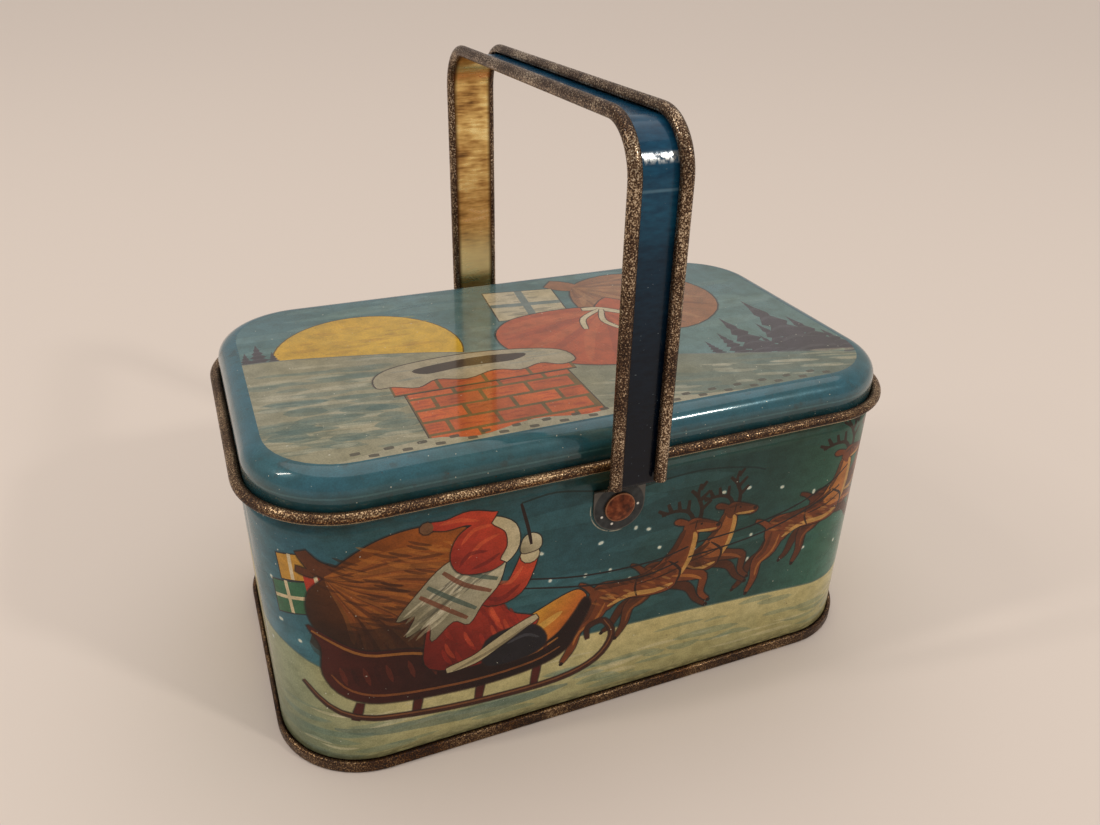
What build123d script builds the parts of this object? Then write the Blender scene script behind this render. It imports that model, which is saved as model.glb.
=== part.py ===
from build123d import *
import os

# A printed tinplate box with rounded corners, a slip-in lid and a strap handle on two rivets.
# Millimetres. X runs along the tin, the front faces -Y, Z is up.
# The origin is at the middle of the base, and the handle stands upright at rest.

# --- the sheet metal ---
SHEET = 0.28                  # tinplate thickness
GAP = 0.02                    # between folded layers of one seam

# --- the wall ---
LENGTH = 105.0                # outside of the wall, end to end
WIDTH = 62.5                  # outside of the wall, front to back
CORNER = 14.5                 # outside corner radius of the wall in plan
NECK_SPREAD = 0.25            # how far the neck above the seat ridge stands outside the wall
RIM_Z = 47.96                 # centre of the rolled rim
RIM_RADIUS = 0.70             # centreline radius of the rolled rim
RIM_TURN = 290                # degrees that the rim is rolled
RIDGE_Z = 45.9                # middle of the seat ridge that the lid rests on
RIDGE_DEPTH = 0.8             # how far the ridge is pressed in
RIDGE_HALF = 1.15             # half the ridge's height
RIDGE_BEND = 0.6              # centreline radius of the ridge's bends
NECK_BEND = 0.4

# --- the double seam at the base ---
SEAM_HEIGHT = 2.1
FOLD = 0.25                   # centreline radius of a tight fold
PANEL_Z = 2.0                 # underside of the base panel's border
PANEL_STEP = 0.46             # the middle of the base panel is pressed up by this much
PANEL_BORDER = 4.5            # width of the border outside the step
PANEL_BEND = 0.5

# --- the upright lock seam in the back wall ---
LOCK_X = 24.0
LOCK_WIDTH = 5.0
LOCK_LAYERS = 0.56            # the two layers folded inside
LOCK_LINE = 0.25              # width of the line that the fold leaves outside
LOCK_LOW = 3.2
LOCK_HIGH = 43.6

# --- the lid ---
LID_GAP = 0.10                # between the skirt and the neck
LID_TOP = 53.75
LID_SHOULDER = 2.96           # centreline radius of the shoulder
LID_CURL = 0.50               # centreline radius of the curl at the skirt's lower edge
LID_CURL_Z = 47.38
LID_CURL_TURN = 200

# --- the handle ---
HANDLE_X = -0.7               # the rivets sit a little off the middle
PIVOT_Z = 39.9
STRAP_FLAT = 7.04             # the flat web between its two curled edges
STRAP_CURL = 0.79             # centreline radius of a curled edge
STRAP_TURN = 285              # degrees that each edge is curled
WEB_Y = 35.83                 # centre of the web's thickness, on each upright
WEB_TOP = 95.97               # centre of the web's thickness, along the top
WEB_BEND = 6.48               # bend from an upright to the top
CURL_END_Z = 46.9             # the curled edges stop here
CRANK_HIGH = 46.2             # corners of the crank that brings the strap in to the wall
CRANK_LOW = 43.2
CRANK_BEND = 0.85
TAB_RADIUS = 4.25
TAB_GAP = 0.06                # running clearance on each face of a tab

# --- the rivets ---
SHANK_RADIUS = 1.2
SHANK_CLEARANCE = 0.08
WALL_HOLE_CLEARANCE = 0.02
HEAD_RADIUS = 2.45
HEAD_EDGE = 0.30
HEAD_DOME = 0.42
TAIL_RADIUS = 1.9
TAIL_FLAT = 1.2
TAIL_HEIGHT = 0.7

# --- worked out from the above ---
HALF_SHEET = SHEET / 2
AXIS_X = LENGTH / 2 - CORNER                    # the corners' upright axes
AXIS_Y = WIDTH / 2 - CORNER
WALL_MID = CORNER - HALF_SHEET                  # centre of the wall's sheet, out from a corner axis
LAYER = SHEET + GAP                             # pitch of the layers in the base seam
END_HOOK = WALL_MID + LAYER
BODY_HOOK = END_HOOK + LAYER
SEAM_WALL = BODY_HOOK + LAYER
CHUCK_WALL = WALL_MID - LAYER
NECK_MID = WALL_MID + NECK_SPREAD
LID_MID = NECK_MID - SHEET - LID_GAP
MIDDLE = 8.0                                    # a section stops here, and a flat plate fills the rest
FRONT = WIDTH / 2
TAB_MID = FRONT + TAB_GAP + HALF_SHEET


def bent(section):
    """The face of a bent sheet, from the line down the middle of its thickness."""
    return make_face(trace(section, line_width=SHEET).face().outer_wire())


def carried_round(section):
    """Carry a section drawn as (distance out from a corner axis, height) right round the tin."""
    corner = (AXIS_X, AXIS_Y, 0)
    across = Plane(corner, x_dir=(1, 0, 0), z_dir=(0, -1, 0)) * section
    along = Plane(corner, x_dir=(0, 1, 0), z_dir=(1, 0, 0)) * section
    quarter = extrude(across, amount=AXIS_Y)
    quarter += extrude(along, amount=-AXIS_X)
    quarter += revolve(across, axis=Axis(corner, (0, 0, 1)), revolution_arc=90)
    half = quarter + mirror(quarter, about=Plane.YZ)
    return half + mirror(half, about=Plane.XZ)


def plate(reach, middle_z):
    """A flat plate with rounded corners, reach being its corner radius."""
    outline = RectangleRounded(2 * (AXIS_X + reach), 2 * (AXIS_Y + reach), reach)
    return Pos(0, 0, middle_z - HALF_SHEET) * extrude(outline, amount=SHEET)


def along_y(radius, y_from, y_to):
    """A round bar across the tin on the rivets' axis."""
    disc = Plane((HANDLE_X, y_from, PIVOT_Z), x_dir=(1, 0, 0), z_dir=(0, 1, 0)) * Circle(radius)
    return extrude(disc, amount=y_to - y_from)


def make_wall():
    flange_z = SHEET + GAP + HALF_SHEET
    hook_tip = SEAM_HEIGHT - SHEET - 2 * GAP - FOLD
    path = FilletPolyline(
        (BODY_HOOK, hook_tip),
        (BODY_HOOK, flange_z),
        (WALL_MID, flange_z),
        (WALL_MID, RIDGE_Z - RIDGE_HALF),
        (WALL_MID - RIDGE_DEPTH, RIDGE_Z),
        (NECK_MID, RIDGE_Z + RIDGE_HALF),
        (NECK_MID, RIM_Z),
        radius=[FOLD, FOLD, RIDGE_BEND, RIDGE_BEND, NECK_BEND],
    )
    rim = CenterArc((NECK_MID + RIM_RADIUS, RIM_Z), RIM_RADIUS, 180, -RIM_TURN)
    wall = carried_round(bent(path + rim))

    lock_y = FRONT - SHEET - LOCK_LAYERS / 2
    lock_z = (LOCK_LOW + LOCK_HIGH) / 2
    wall += Pos(LOCK_X, lock_y, lock_z) * Box(LOCK_WIDTH, LOCK_LAYERS, LOCK_HIGH - LOCK_LOW)
    line_x = LOCK_X - LOCK_WIDTH / 2
    wall -= Pos(line_x, FRONT, lock_z) * Box(LOCK_LINE, LOCK_LINE, LOCK_HIGH - LOCK_LOW)

    hole = along_y(SHANK_RADIUS + WALL_HOLE_CLEARANCE, -WIDTH, WIDTH)
    return wall - hole


def make_bottom():
    high = SEAM_HEIGHT - HALF_SHEET
    border_z = PANEL_Z + HALF_SHEET
    step = CHUCK_WALL - PANEL_BORDER
    path = FilletPolyline(
        (END_HOOK, SEAM_HEIGHT / 2 - GAP),
        (END_HOOK, high),
        (SEAM_WALL, high),
        (SEAM_WALL, HALF_SHEET),
        (CHUCK_WALL, HALF_SHEET),
        (CHUCK_WALL, border_z),
        (step + PANEL_STEP, border_z),
        (step, border_z + PANEL_STEP),
        (MIDDLE, border_z + PANEL_STEP),
        radius=[FOLD] * 4 + [PANEL_BEND] * 3,
    )
    return carried_round(bent(path)) + plate(MIDDLE + SHEET, border_z + PANEL_STEP)


def make_lid():
    top = LID_TOP - HALF_SHEET
    curl = CenterArc((LID_MID - LID_CURL, LID_CURL_Z), LID_CURL, -LID_CURL_TURN, LID_CURL_TURN)
    skirt = FilletPolyline(
        (LID_MID, LID_CURL_Z),
        (LID_MID, top),
        (MIDDLE, top),
        radius=LID_SHOULDER,
    )
    return carried_round(bent(curl + skirt)) + plate(MIDDLE + SHEET, top)


def strap_section():
    """Across the strap: x over its width, y outward from the web."""
    half = STRAP_FLAT / 2
    right = CenterArc((half, STRAP_CURL), STRAP_CURL, -90, STRAP_TURN)
    left = CenterArc((-half, STRAP_CURL), STRAP_CURL, -90, -STRAP_TURN)
    return bent(left + Line((-half, 0), (half, 0)) + right)


def make_crank():
    """The strap's lower end at the back: it steps in to the wall and ends in a round tab."""
    path = FilletPolyline(
        (WEB_Y, CURL_END_Z),
        (WEB_Y, CRANK_HIGH),
        (TAB_MID, CRANK_LOW),
        (TAB_MID, PIVOT_Z - TAB_RADIUS),
        radius=CRANK_BEND,
    )
    side = Plane((HANDLE_X - TAB_RADIUS, 0, 0), x_dir=(0, 1, 0), z_dir=(1, 0, 0)) * bent(path)
    strip = extrude(side, amount=2 * TAB_RADIUS)
    upright = CURL_END_Z - PIVOT_Z
    outline = Pos(0, upright / 2) * Rectangle(2 * TAB_RADIUS, upright) + Circle(TAB_RADIUS)
    outline = Plane((HANDLE_X, WIDTH, PIVOT_Z), x_dir=(1, 0, 0), z_dir=(0, -1, 0)) * outline
    return strip & extrude(outline, amount=WIDTH)


def make_handle():
    section = strap_section()
    bend_z = WEB_TOP - WEB_BEND
    bend_y = WEB_Y - WEB_BEND
    foot = Plane((HANDLE_X, WEB_Y, CURL_END_Z), x_dir=(1, 0, 0), z_dir=(0, 0, 1)) * section
    upright = extrude(foot, amount=bend_z - CURL_END_Z)
    shoulder = Pos(0, 0, bend_z - CURL_END_Z) * foot
    bend = revolve(shoulder, axis=Axis((0, bend_y, bend_z), (1, 0, 0)), revolution_arc=90)
    top = Plane((HANDLE_X, bend_y, WEB_TOP), x_dir=(1, 0, 0), z_dir=(0, -1, 0)) * section
    half = upright + bend + extrude(top, amount=bend_y) + make_crank()
    handle = half + mirror(half, about=Plane.XZ)
    return handle - along_y(SHANK_RADIUS + SHANK_CLEARANCE, -WIDTH, WIDTH)


def make_rivet():
    """The back rivet: a low domed head outside, a clinched tail inside."""
    head_y = FRONT + 2 * TAB_GAP + SHEET
    edge_y = head_y + HEAD_EDGE
    tail_y = FRONT - SHEET
    end_y = tail_y - TAIL_HEIGHT
    outline = Polyline(
        (0, edge_y + HEAD_DOME),
        (0, end_y),
        (TAIL_FLAT, end_y),
        (TAIL_RADIUS, tail_y - TAIL_HEIGHT / 2),
        (TAIL_RADIUS, tail_y),
        (SHANK_RADIUS, tail_y),
        (SHANK_RADIUS, head_y),
        (HEAD_RADIUS, head_y),
        (HEAD_RADIUS, edge_y),
    )
    dome = TangentArc(outline @ 0, outline @ 1, tangent=(1, 0))
    rivet = revolve(make_face(outline + dome), axis=Axis.Y)
    return Pos(HANDLE_X, 0, PIVOT_Z) * rivet


def main():
    rivet = make_rivet()
    nodes = {
        "body_wall": make_wall(),
        "bottom_panel": make_bottom(),
        "lid": make_lid(),
        "handle": make_handle(),
        "front_rivet": mirror(rivet, about=Plane.XZ),
        "back_rivet": rivet,
    }
    os.makedirs("parts", exist_ok=True)
    for name, shape in nodes.items():
        export_step(shape, f"parts/{name}.step")


main()
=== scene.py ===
# %% [markdown]
# # A printed sweet tin with a swing handle
# The tin is thin tinplate. Its wall and lid were printed flat, in layers of coloured ink, and
# then bent and drawn to shape. The CAD model gives the sheet metal. This notebook adds the
# printed ink as its own thin layers, gives every metal surface a finish, and sets the light.

# %% Load the frame
import math
import random

import bpy
import numpy as np
from mathutils import Matrix, Vector
from mathutils.geometry import delaunay_2d_cdt


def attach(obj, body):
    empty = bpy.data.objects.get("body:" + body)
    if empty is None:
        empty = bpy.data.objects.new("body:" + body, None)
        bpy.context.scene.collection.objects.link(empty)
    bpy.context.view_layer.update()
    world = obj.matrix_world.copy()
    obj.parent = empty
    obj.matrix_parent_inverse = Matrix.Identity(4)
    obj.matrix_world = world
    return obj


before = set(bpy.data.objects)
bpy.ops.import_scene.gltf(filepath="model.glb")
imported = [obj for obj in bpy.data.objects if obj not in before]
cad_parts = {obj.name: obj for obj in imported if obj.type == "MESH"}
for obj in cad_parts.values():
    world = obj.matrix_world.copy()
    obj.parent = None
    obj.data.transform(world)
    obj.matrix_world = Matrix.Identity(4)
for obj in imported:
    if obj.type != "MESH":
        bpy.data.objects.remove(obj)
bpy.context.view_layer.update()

bpy.ops.object.select_all(action="DESELECT")
MM = 0.001

# %% [markdown]
# ## The camera
# The tin is seen from its front left and a little above, close up, with a wide lens. The camera
# is turned first about the vertical, then tipped down, then rolled slightly about its own axis.

# %% Camera
bpy.ops.object.camera_add(location=(-0.05416, -0.12988, 0.11614))
camera = bpy.context.object
heading = Matrix.Rotation(math.radians(-23.06), 4, "Z")
tip = Matrix.Rotation(math.radians(90 - 28.52), 4, "X")
roll = Matrix.Rotation(math.radians(1.23), 4, "Z")
camera.rotation_euler = (heading @ tip @ roll).to_euler()
camera.data.sensor_width = 36
camera.data.lens = 29.3
camera.data.clip_start = 0.005
bpy.context.scene.camera = camera
print("camera at", [round(v / MM) for v in camera.location], "mm, lens", round(camera.data.lens, 1))

# %% [markdown]
# ## The floor and the light
# The tin stands on a wide, plain, pale floor, so that glossy metal always has something pale to
# reflect. A very broad sun and a pale sky stand in for a light room and keep the shadows soft.
# Alone they would leave the varnish dull, so two small lamps add bright glints where the metal
# curves.

# %% Floor
bpy.ops.mesh.primitive_plane_add(size=9.0, location=(0, 0, 0))
floor = bpy.context.object
floor.name = "floor"
bpy.ops.object.mode_set(mode="EDIT")
bpy.ops.mesh.select_all(action="SELECT")
bpy.ops.mesh.subdivide(number_cuts=3)
bpy.ops.object.mode_set(mode="OBJECT")


def principled(material):
    return material.node_tree.nodes["Principled BSDF"]


cloth = bpy.data.materials.new("pale_floor")
cloth.use_nodes = True
principled(cloth).inputs["Base Color"].default_value = (0.72, 0.655, 0.60, 1)
principled(cloth).inputs["Roughness"].default_value = 0.95
principled(cloth).inputs["Specular IOR Level"].default_value = 0.1
floor.data.materials.append(cloth)
print("floor", round(floor.dimensions.x, 1), "m wide")


# %% Lamps
def soft_lamp(name, place, target, size, power, colour):
    bpy.ops.object.light_add(type="AREA", location=place)
    lamp = bpy.context.object
    lamp.name = name
    lamp.data.shape = "RECTANGLE"
    lamp.data.size, lamp.data.size_y = size
    lamp.data.energy = power
    lamp.data.color = colour
    lamp.rotation_euler = (Vector(target) - Vector(place)).to_track_quat("-Z", "Y").to_euler()
    return lamp


TIN_MIDDLE = (0, 0, 0.04)
soft_lamp("window", (0.46, -0.62, 0.60), TIN_MIDDLE, (0.07, 0.07), 1.6, (1.0, 0.92, 0.84))
soft_lamp("left_lamp", (-0.72, 0.05, 0.68), TIN_MIDDLE, (0.05, 0.30), 1.4, (1.0, 0.90, 0.80))
ABOVE = (0.15, 0.25, 1.3)
bpy.ops.object.light_add(type="SUN", location=ABOVE)
ceiling = bpy.context.object
ceiling.name = "ceiling"
ceiling.data.energy = 1.02
ceiling.data.angle = math.radians(70)
ceiling.data.color = (1.0, 0.91, 0.85)
ceiling.rotation_euler = Vector(ABOVE).to_track_quat("Z", "Y").to_euler()

world = bpy.data.worlds.new("room")
bpy.context.scene.world = world
world.use_nodes = True
world.node_tree.nodes["Background"].inputs["Color"].default_value = (0.80, 0.735, 0.68, 1)
world.node_tree.nodes["Background"].inputs["Strength"].default_value = 0.62
bpy.context.scene.view_settings.view_transform = "Standard"

# %% [markdown]
# ## Printed ink
# Tinplate is printed flat and shaped afterwards. Each print here is one thin closed layer that
# lies 0.05 mm outside the metal, as the ink and its varnish do. An image texture could carry the
# picture, but a picture made of cut shapes stays sharp at any distance. So every shape is drawn
# in millimetres on the flat sheet, the sheet is cut into triangles along the shapes' outlines,
# each triangle gets the colour of the shapes that lie on it, and the sheet is bent to the tin.

# %% Smooth curves
def curve_through(points, closed=False, steps=4):
    """Points along a smooth curve that passes through every given point."""
    count = len(points)
    spans = count if closed else count - 1
    found = []
    for i in range(spans):
        if closed:
            a, b, c, d = (points[(i + k) % count] for k in (-1, 0, 1, 2))
        else:
            a, b, c, d = (points[min(max(i + k, 0), count - 1)] for k in (-1, 0, 1, 2))
        for j in range(steps):
            t = j / steps
            found.append(tuple(
                0.5 * (2 * q + (r - p) * t + (2 * p - 5 * q + 4 * r - s) * t**2
                       + (3 * q - p - 3 * r + s) * t**3)
                for p, q, r, s in zip(a, b, c, d)))
    if not closed:
        found.append(tuple(points[-1]))
    return found


def ribbon(points, half_width, steps):
    """The outline of a band along a curve; half_width gives half its width at each point."""
    line = curve_through(points, steps=steps)
    left, right = [], []
    last = len(line) - 1
    for i, (x, y) in enumerate(line):
        x0, y0 = line[max(i - 1, 0)]
        x1, y1 = line[min(i + 1, last)]
        length = math.hypot(x1 - x0, y1 - y0) or 1.0
        half = half_width(i, last)
        nx, ny = -(y1 - y0) / length * half, (x1 - x0) / length * half
        left.append((x + nx, y + ny))
        right.append((x - nx, y - ny))
    return left + right[::-1]


def stroke(points, width, tip=0.35, steps=4):
    """A brush stroke: full width in the middle, tip times that at its ends."""
    def half_width(i, last):
        return width / 2 * (tip + (1 - tip) * math.sin(math.pi * i / last) ** 0.6)
    return ribbon(points, half_width, steps)


def limb(points, wide, narrow, steps=4):
    """A leg or a bough: it narrows all the way along."""
    def half_width(i, last):
        return (wide + (narrow - wide) * (i / last) ** 0.6) / 2
    return ribbon(points, half_width, steps)


print("one brush stroke is an outline of", len(stroke([(0, 0), (4, 1), (8, 0)], 1.0)), "points")


# %% Outlines
def grown(points, by):
    """A closed outline moved outward, for the dark line round a shape."""
    area = sum(a[0] * b[1] - b[0] * a[1] for a, b in zip(points, points[1:] + points[:1]))
    side = by if area > 0 else -by
    found = []
    for i, (x, y) in enumerate(points):
        x0, y0 = points[i - 1]
        x1, y1 = points[(i + 1) % len(points)]
        length = math.hypot(x1 - x0, y1 - y0) or 1.0
        found.append((x + (y1 - y0) / length * side, y - (x1 - x0) / length * side))
    return found


def disc(x, y, radius, count=12):
    turns = [2 * math.pi * i / count for i in range(count)]
    return [(x + radius * math.cos(t), y + radius * math.sin(t)) for t in turns]


def rectangle(x0, y0, x1, y1):
    return [(x0, y0), (x1, y0), (x1, y1), (x0, y1)]


def moved(shapes, x, y, scale=1.0, turn=0.0):
    """The same shapes, scaled, turned by some degrees and carried to a place."""
    c, s = math.cos(math.radians(turn)) * scale, math.sin(math.radians(turn)) * scale
    return [([(x + c * u - s * v, y + s * u + c * v) for u, v in outline], *paint)
            for outline, *paint in shapes]


print("a square grown by 0.1:", grown(rectangle(0, 0, 1, 1), 0.1))

# %% [markdown]
# ## Painted shapes
# On the real sheet each colour is one pass of the press, and later inks cover earlier ones. A
# painted shape here is an outline, a colour and a strength, and a strength below 1 lets the ink
# beneath show through. The dark line round a figure could be drawn as a stroke of its own. It is
# made by painting the figure's outlines first, grown a little, in two steps, because that gives
# the soft edge of ink that has spread.

# %% Paint
INK = (44, 30, 28)             # the dark line round every figure
random.seed(7)                 # the same scatter of brush strokes every time


def shaded(start, end, first, last):
    """A colour that runs from first, at the start point, to last, at the end point."""
    dx, dy = end[0] - start[0], end[1] - start[1]
    first, last = np.array(first, dtype=float), np.array(last, dtype=float)

    def colour(x, y):
        t = ((x - start[0]) * dx + (y - start[1]) * dy) / (dx * dx + dy * dy)
        t = np.clip(t, 0, 1)[..., None]
        return first * (1 - t) + last * t
    return colour


def form(points, colour):
    """A smooth closed shape through the given points."""
    return curve_through(points, True), colour, 1.0


def marks(lines, width, tip, colour, strength=1.0, steps=4):
    """Brush strokes that share one brush and one colour."""
    return [(stroke(line, width, tip, steps), colour, strength) for line in lines]


def figure(parts, line=0.28):
    """Parts of one figure: first their soft dark surround, then their colours on top."""
    surround = [(grown(outline, line * by), INK, strength)
                for by, strength in ((1.35, 0.3), (0.75, 0.75)) for outline, *_ in parts]
    return surround + parts


def flecks(count, box, length, width, colour, strength, slope=0.0):
    """Short level brush strokes scattered over a box."""
    x0, y0, x1, y1 = box
    found = []
    for _ in range(count):
        x, y = random.uniform(x0, x1), random.uniform(y0, y1)
        half = length * random.uniform(0.3, 0.9)
        lift = random.uniform(-0.06, 0.06) * length
        points = [(x - half, y - slope * half), (x, y + lift), (x + half, y + slope * half)]
        found.append((stroke(points, width * random.uniform(0.5, 1.2), 0.1, 3), colour, strength))
    return found


print("halfway from black to white:", shaded((0, 0), (1, 0), (0, 0, 0), (255, 255, 255))(0.5, 0))


# %% Light values, and what lies inside an outline
def linear(colour):
    """Screen colours, 0 to 255, as the linear light values that a shader works in."""
    c = np.asarray(colour, dtype=float) / 255
    return np.where(c <= 0.04045, c / 12.92, ((c + 0.055) / 1.055) ** 2.4)


def inside(outline, spots):
    """Which spots lie inside a closed outline."""
    ring = np.asarray(outline, dtype=float)
    low, high = ring.min(axis=0), ring.max(axis=0)
    near = np.flatnonzero(((spots >= low) & (spots <= high)).all(axis=1))
    x, y = spots[near, 0][:, None], spots[near, 1][:, None]
    ax, ay = ring[:, 0], ring[:, 1]
    bx, by = np.roll(ax, -1), np.roll(ay, -1)
    side = (bx - ax) * (y - ay) - (x - ax) * (by - ay)
    up = (ay <= y) & (by > y) & (side > 0)
    down = (ay > y) & (by <= y) & (side < 0)
    winding = up.sum(axis=1) - down.sum(axis=1)
    return near[winding != 0]


print("mid grey as light:", linear((128, 128, 128)).round(3))


# %% [markdown]
# ## Cutting the sheet
# Cutting is one constrained triangulation: every outline becomes edges of the sheet, and a grid
# of dots keeps the triangles small enough to bend. The layer is closed, with an inner skin and a
# border, so that it is a thin solid like the ink it stands for.

# %% Cut and colour a flat sheet
MERGE_WITHIN = 0.002           # points of the outlines closer than this become one


def cut_sheet(outline, shapes, guides, dots):
    """Triangles of the flat sheet, cut along every shape's outline and every guide line."""
    spots, edges = [], []
    for line, closed in [(outline, True)] + [(s[0], True) for s in shapes] + guides:
        first = len(spots)
        spots += [Vector(p) for p in line]
        edges += [(i, i + 1) for i in range(first, len(spots) - 1)]
        if closed:
            edges.append((len(spots) - 1, first))
    spots += [Vector(p) for p in dots]
    flat, _, faces, *_ = delaunay_2d_cdt(spots, edges, [], 0, MERGE_WITHIN)
    flat, faces = np.array([tuple(v) for v in flat]), np.array([tuple(f) for f in faces])
    faces = faces[inside(outline, flat[faces].mean(axis=1))]
    used, faces = np.unique(faces, return_inverse=True)
    return flat[used], faces.reshape(-1, 3)


def coloured(flat, faces, base, shapes):
    """A colour for each corner of each triangle: the base, then every shape in turn."""
    corners = flat[faces]
    colours = base(corners[..., 0], corners[..., 1])
    middles = corners.mean(axis=1)
    for shape, colour, strength in shapes:
        hit = inside(shape, middles)
        paint = colour(corners[hit][..., 0], corners[hit][..., 1]) if callable(colour) else colour
        colours[hit] = colours[hit] * (1 - strength) + np.asarray(paint, dtype=float) * strength
    return colours


# %% Make one printed layer
INK_THICKNESS = 0.03
HIDDEN_GREY = 0.3              # the inner skin and the border, which nobody sees


def closed_faces(faces, count):
    """The triangles, the same ones for the inner skin, and the border that joins them."""
    sides = np.concatenate([faces[:, [0, 1]], faces[:, [1, 2]], faces[:, [2, 0]]])
    keys = {(a, b) for a, b in sides.tolist()}
    border = [(a, b) for a, b in keys if (b, a) not in keys]
    walls = [(b, a, a + count, b + count) for a, b in sorted(border)]
    return faces.tolist() + (faces[:, ::-1] + count).tolist() + walls


def print_layer(name, outline, base, shapes, guides, dots, place):
    """Cut a flat printed sheet along its shapes, colour it, and bend it on to the tin."""
    flat, faces = cut_sheet(outline, shapes, guides, dots)
    colours = coloured(flat, faces, base, shapes)
    outer, normals = zip(*(place(x, y) for x, y in flat))
    outer, normals = np.array(outer), np.array(normals)
    inner = outer - normals * INK_THICKNESS
    both = closed_faces(faces, len(flat))
    mesh = bpy.data.meshes.new(name)
    mesh.from_pydata((np.concatenate([outer, inner]) * MM).tolist(), [], both)
    mesh.polygons.foreach_set("use_smooth", [True] * len(both))
    ink = mesh.color_attributes.new("ink", "FLOAT_COLOR", "CORNER")
    rgba = np.ones((len(mesh.loops), 4)) * HIDDEN_GREY
    rgba[: len(faces) * 3, :3] = linear(colours).reshape(-1, 3)
    rgba[:, 3] = 1
    ink.data.foreach_set("color", rgba.ravel())
    # the bent sheet's own normals, so that its triangles don't show in reflections
    mesh.normals_split_custom_set_from_vertices(np.concatenate([normals, -normals]).tolist())
    mesh.validate()
    piece = bpy.data.objects.new(name, mesh)
    bpy.context.collection.objects.link(piece)
    print(f"{name}: {len(shapes)} shapes, {len(both)} faces")
    return piece

# %% [markdown]
# ## The wall's print
# On the flat sheet, x runs along the wall from the middle of its front and y is the height. The
# sheet goes round each corner on an arc, and near the top it follows the pressed-in ridge that
# the lid rests on, so its upright section is a short list of bends.

# %% The wall's section
WALL_AXIS = (38.0, 16.75)      # the corners' upright axes
CORNER = 14.5                  # their radius
ARC = CORNER * math.pi / 2     # length of a corner
HALF_FRONT = WALL_AXIS[0] + ARC + WALL_AXIS[1]
INK_LIFT = 0.19                # ink surface, out from the middle of the sheet


def dressed_line(corners, bends, lift, steps=6):
    """Places and outward normals along a sheet's section, lifted off its middle line."""
    found = [(Vector(corners[0]), Vector((1, 0)))]
    for before, corner, after, bend in zip(corners, corners[1:], corners[2:], bends):
        start = math.atan2(corner[1] - before[1], corner[0] - before[0])
        turn = math.atan2(after[1] - corner[1], after[0] - corner[0]) - start
        side = math.copysign(bend, turn)
        reach = bend * math.tan(abs(turn) / 2)
        centre = Vector((corner[0] - reach * math.cos(start) - side * math.sin(start),
                         corner[1] - reach * math.sin(start) + side * math.cos(start)))
        for i in range(steps + 1):
            out = start + turn * i / steps - math.pi / 2
            normal = Vector((math.cos(out), math.sin(out)))
            found.append((centre + normal * side, normal))
    found.append((Vector(corners[-1]), Vector((1, 0))))
    return [(spot + normal * lift, normal) for spot, normal in found]


SHEET_MIDDLE = [(14.36, 2.14), (14.36, 44.75), (13.56, 45.9), (14.61, 47.05), (14.61, 47.3)]
SECTION = dressed_line(SHEET_MIDDLE, (0.6, 0.6, 0.4), INK_LIFT)
HEIGHTS = [SECTION[0][0].y]    # how far up the flat sheet each point of the section is
for (spot, _), (above, _) in zip(SECTION, SECTION[1:]):
    HEIGHTS.append(HEIGHTS[-1] + (above - spot).length)
WALL_TOP = HEIGHTS[-1]
print("the wall's sheet is", round(2 * HALF_FRONT, 1), "mm by", round(WALL_TOP, 1), "mm a side")


# %% Bending the wall's sheet
def wall_section(y):
    """Place and outward normal on the wall's section at a height on the flat sheet."""
    i = min(max(int(np.searchsorted(HEIGHTS, y)) - 1, 0), len(HEIGHTS) - 2)
    t = (y - HEIGHTS[i]) / (HEIGHTS[i + 1] - HEIGHTS[i])
    (spot, normal), (above, turned) = SECTION[i], SECTION[i + 1]
    return spot.lerp(above, t), normal.lerp(turned, t).normalized()


def wall_place(side):
    """Bend the flat sheet on to the tin; side is 1 for the front and -1 for the back."""
    def place(x, y):
        spot, slope = wall_section(y)
        reach = max(0.0, abs(x) - WALL_AXIS[0])
        turn = min(reach, ARC) / CORNER
        out = Vector((math.copysign(math.sin(turn), x), -math.cos(turn), 0))
        base = Vector((max(-WALL_AXIS[0], min(x, WALL_AXIS[0])),
                       max(0.0, reach - ARC) - WALL_AXIS[1], 0))
        place_out = base + out * spot.x + Vector((0, 0, spot.y))
        normal = out * slope.x + Vector((0, 0, slope.y))
        if side < 0:
            place_out.xy, normal.xy = -place_out.xy, -normal.xy
        return tuple(place_out), tuple(normal)
    return place


def wall_guides(steps=24):
    """Lines where the sheet bends: upright ones round the corners, level ones at the ridge."""
    turns = [side * (WALL_AXIS[0] + ARC * i / steps) for side in (-1, 1) for i in range(steps + 1)]
    lines = [([(x, HEIGHTS[0]), (x, WALL_TOP)], False) for x in turns]
    return lines + [([(-HALF_FRONT, y), (HALF_FRONT, y)], False) for y in HEIGHTS[1:-1]]


WALL_OUTLINE = rectangle(-HALF_FRONT, HEIGHTS[0], HALF_FRONT, WALL_TOP)
WALL_DOTS = [(-76 + 2.5 * i, 4 + 2.5 * j) for i in range(61) for j in range(17)]
for point, name in (((0, 20), "front"), ((HALF_FRONT, 20), "right end")):
    print("middle of the", name, [round(v, 2) for v in wall_place(1)(*point)[0]])

# %% [markdown]
# ## The picture on the front
# A plain winter scene: a sleigh with a sack and parcels, a driver in a red hooded coat and a
# striped shawl, turned away, and deer pulling on their reins. The background comes first, then
# the figures from far to near, as the ink plates were laid down.

# %% Sky, snow and snowflakes
SNOW_TOP = [(-79, 20.1), (-77.4, 20.1), (-66, 24.3), (-55, 24), (-47, 21), (-40, 19.5),
            (-22, 17.5), (-8, 16), (10, 15.2), (26, 14.2), (44, 13.2), (56, 15.2), (68, 18.5),
            (77.4, 20.1), (79, 20.1)]


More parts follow.
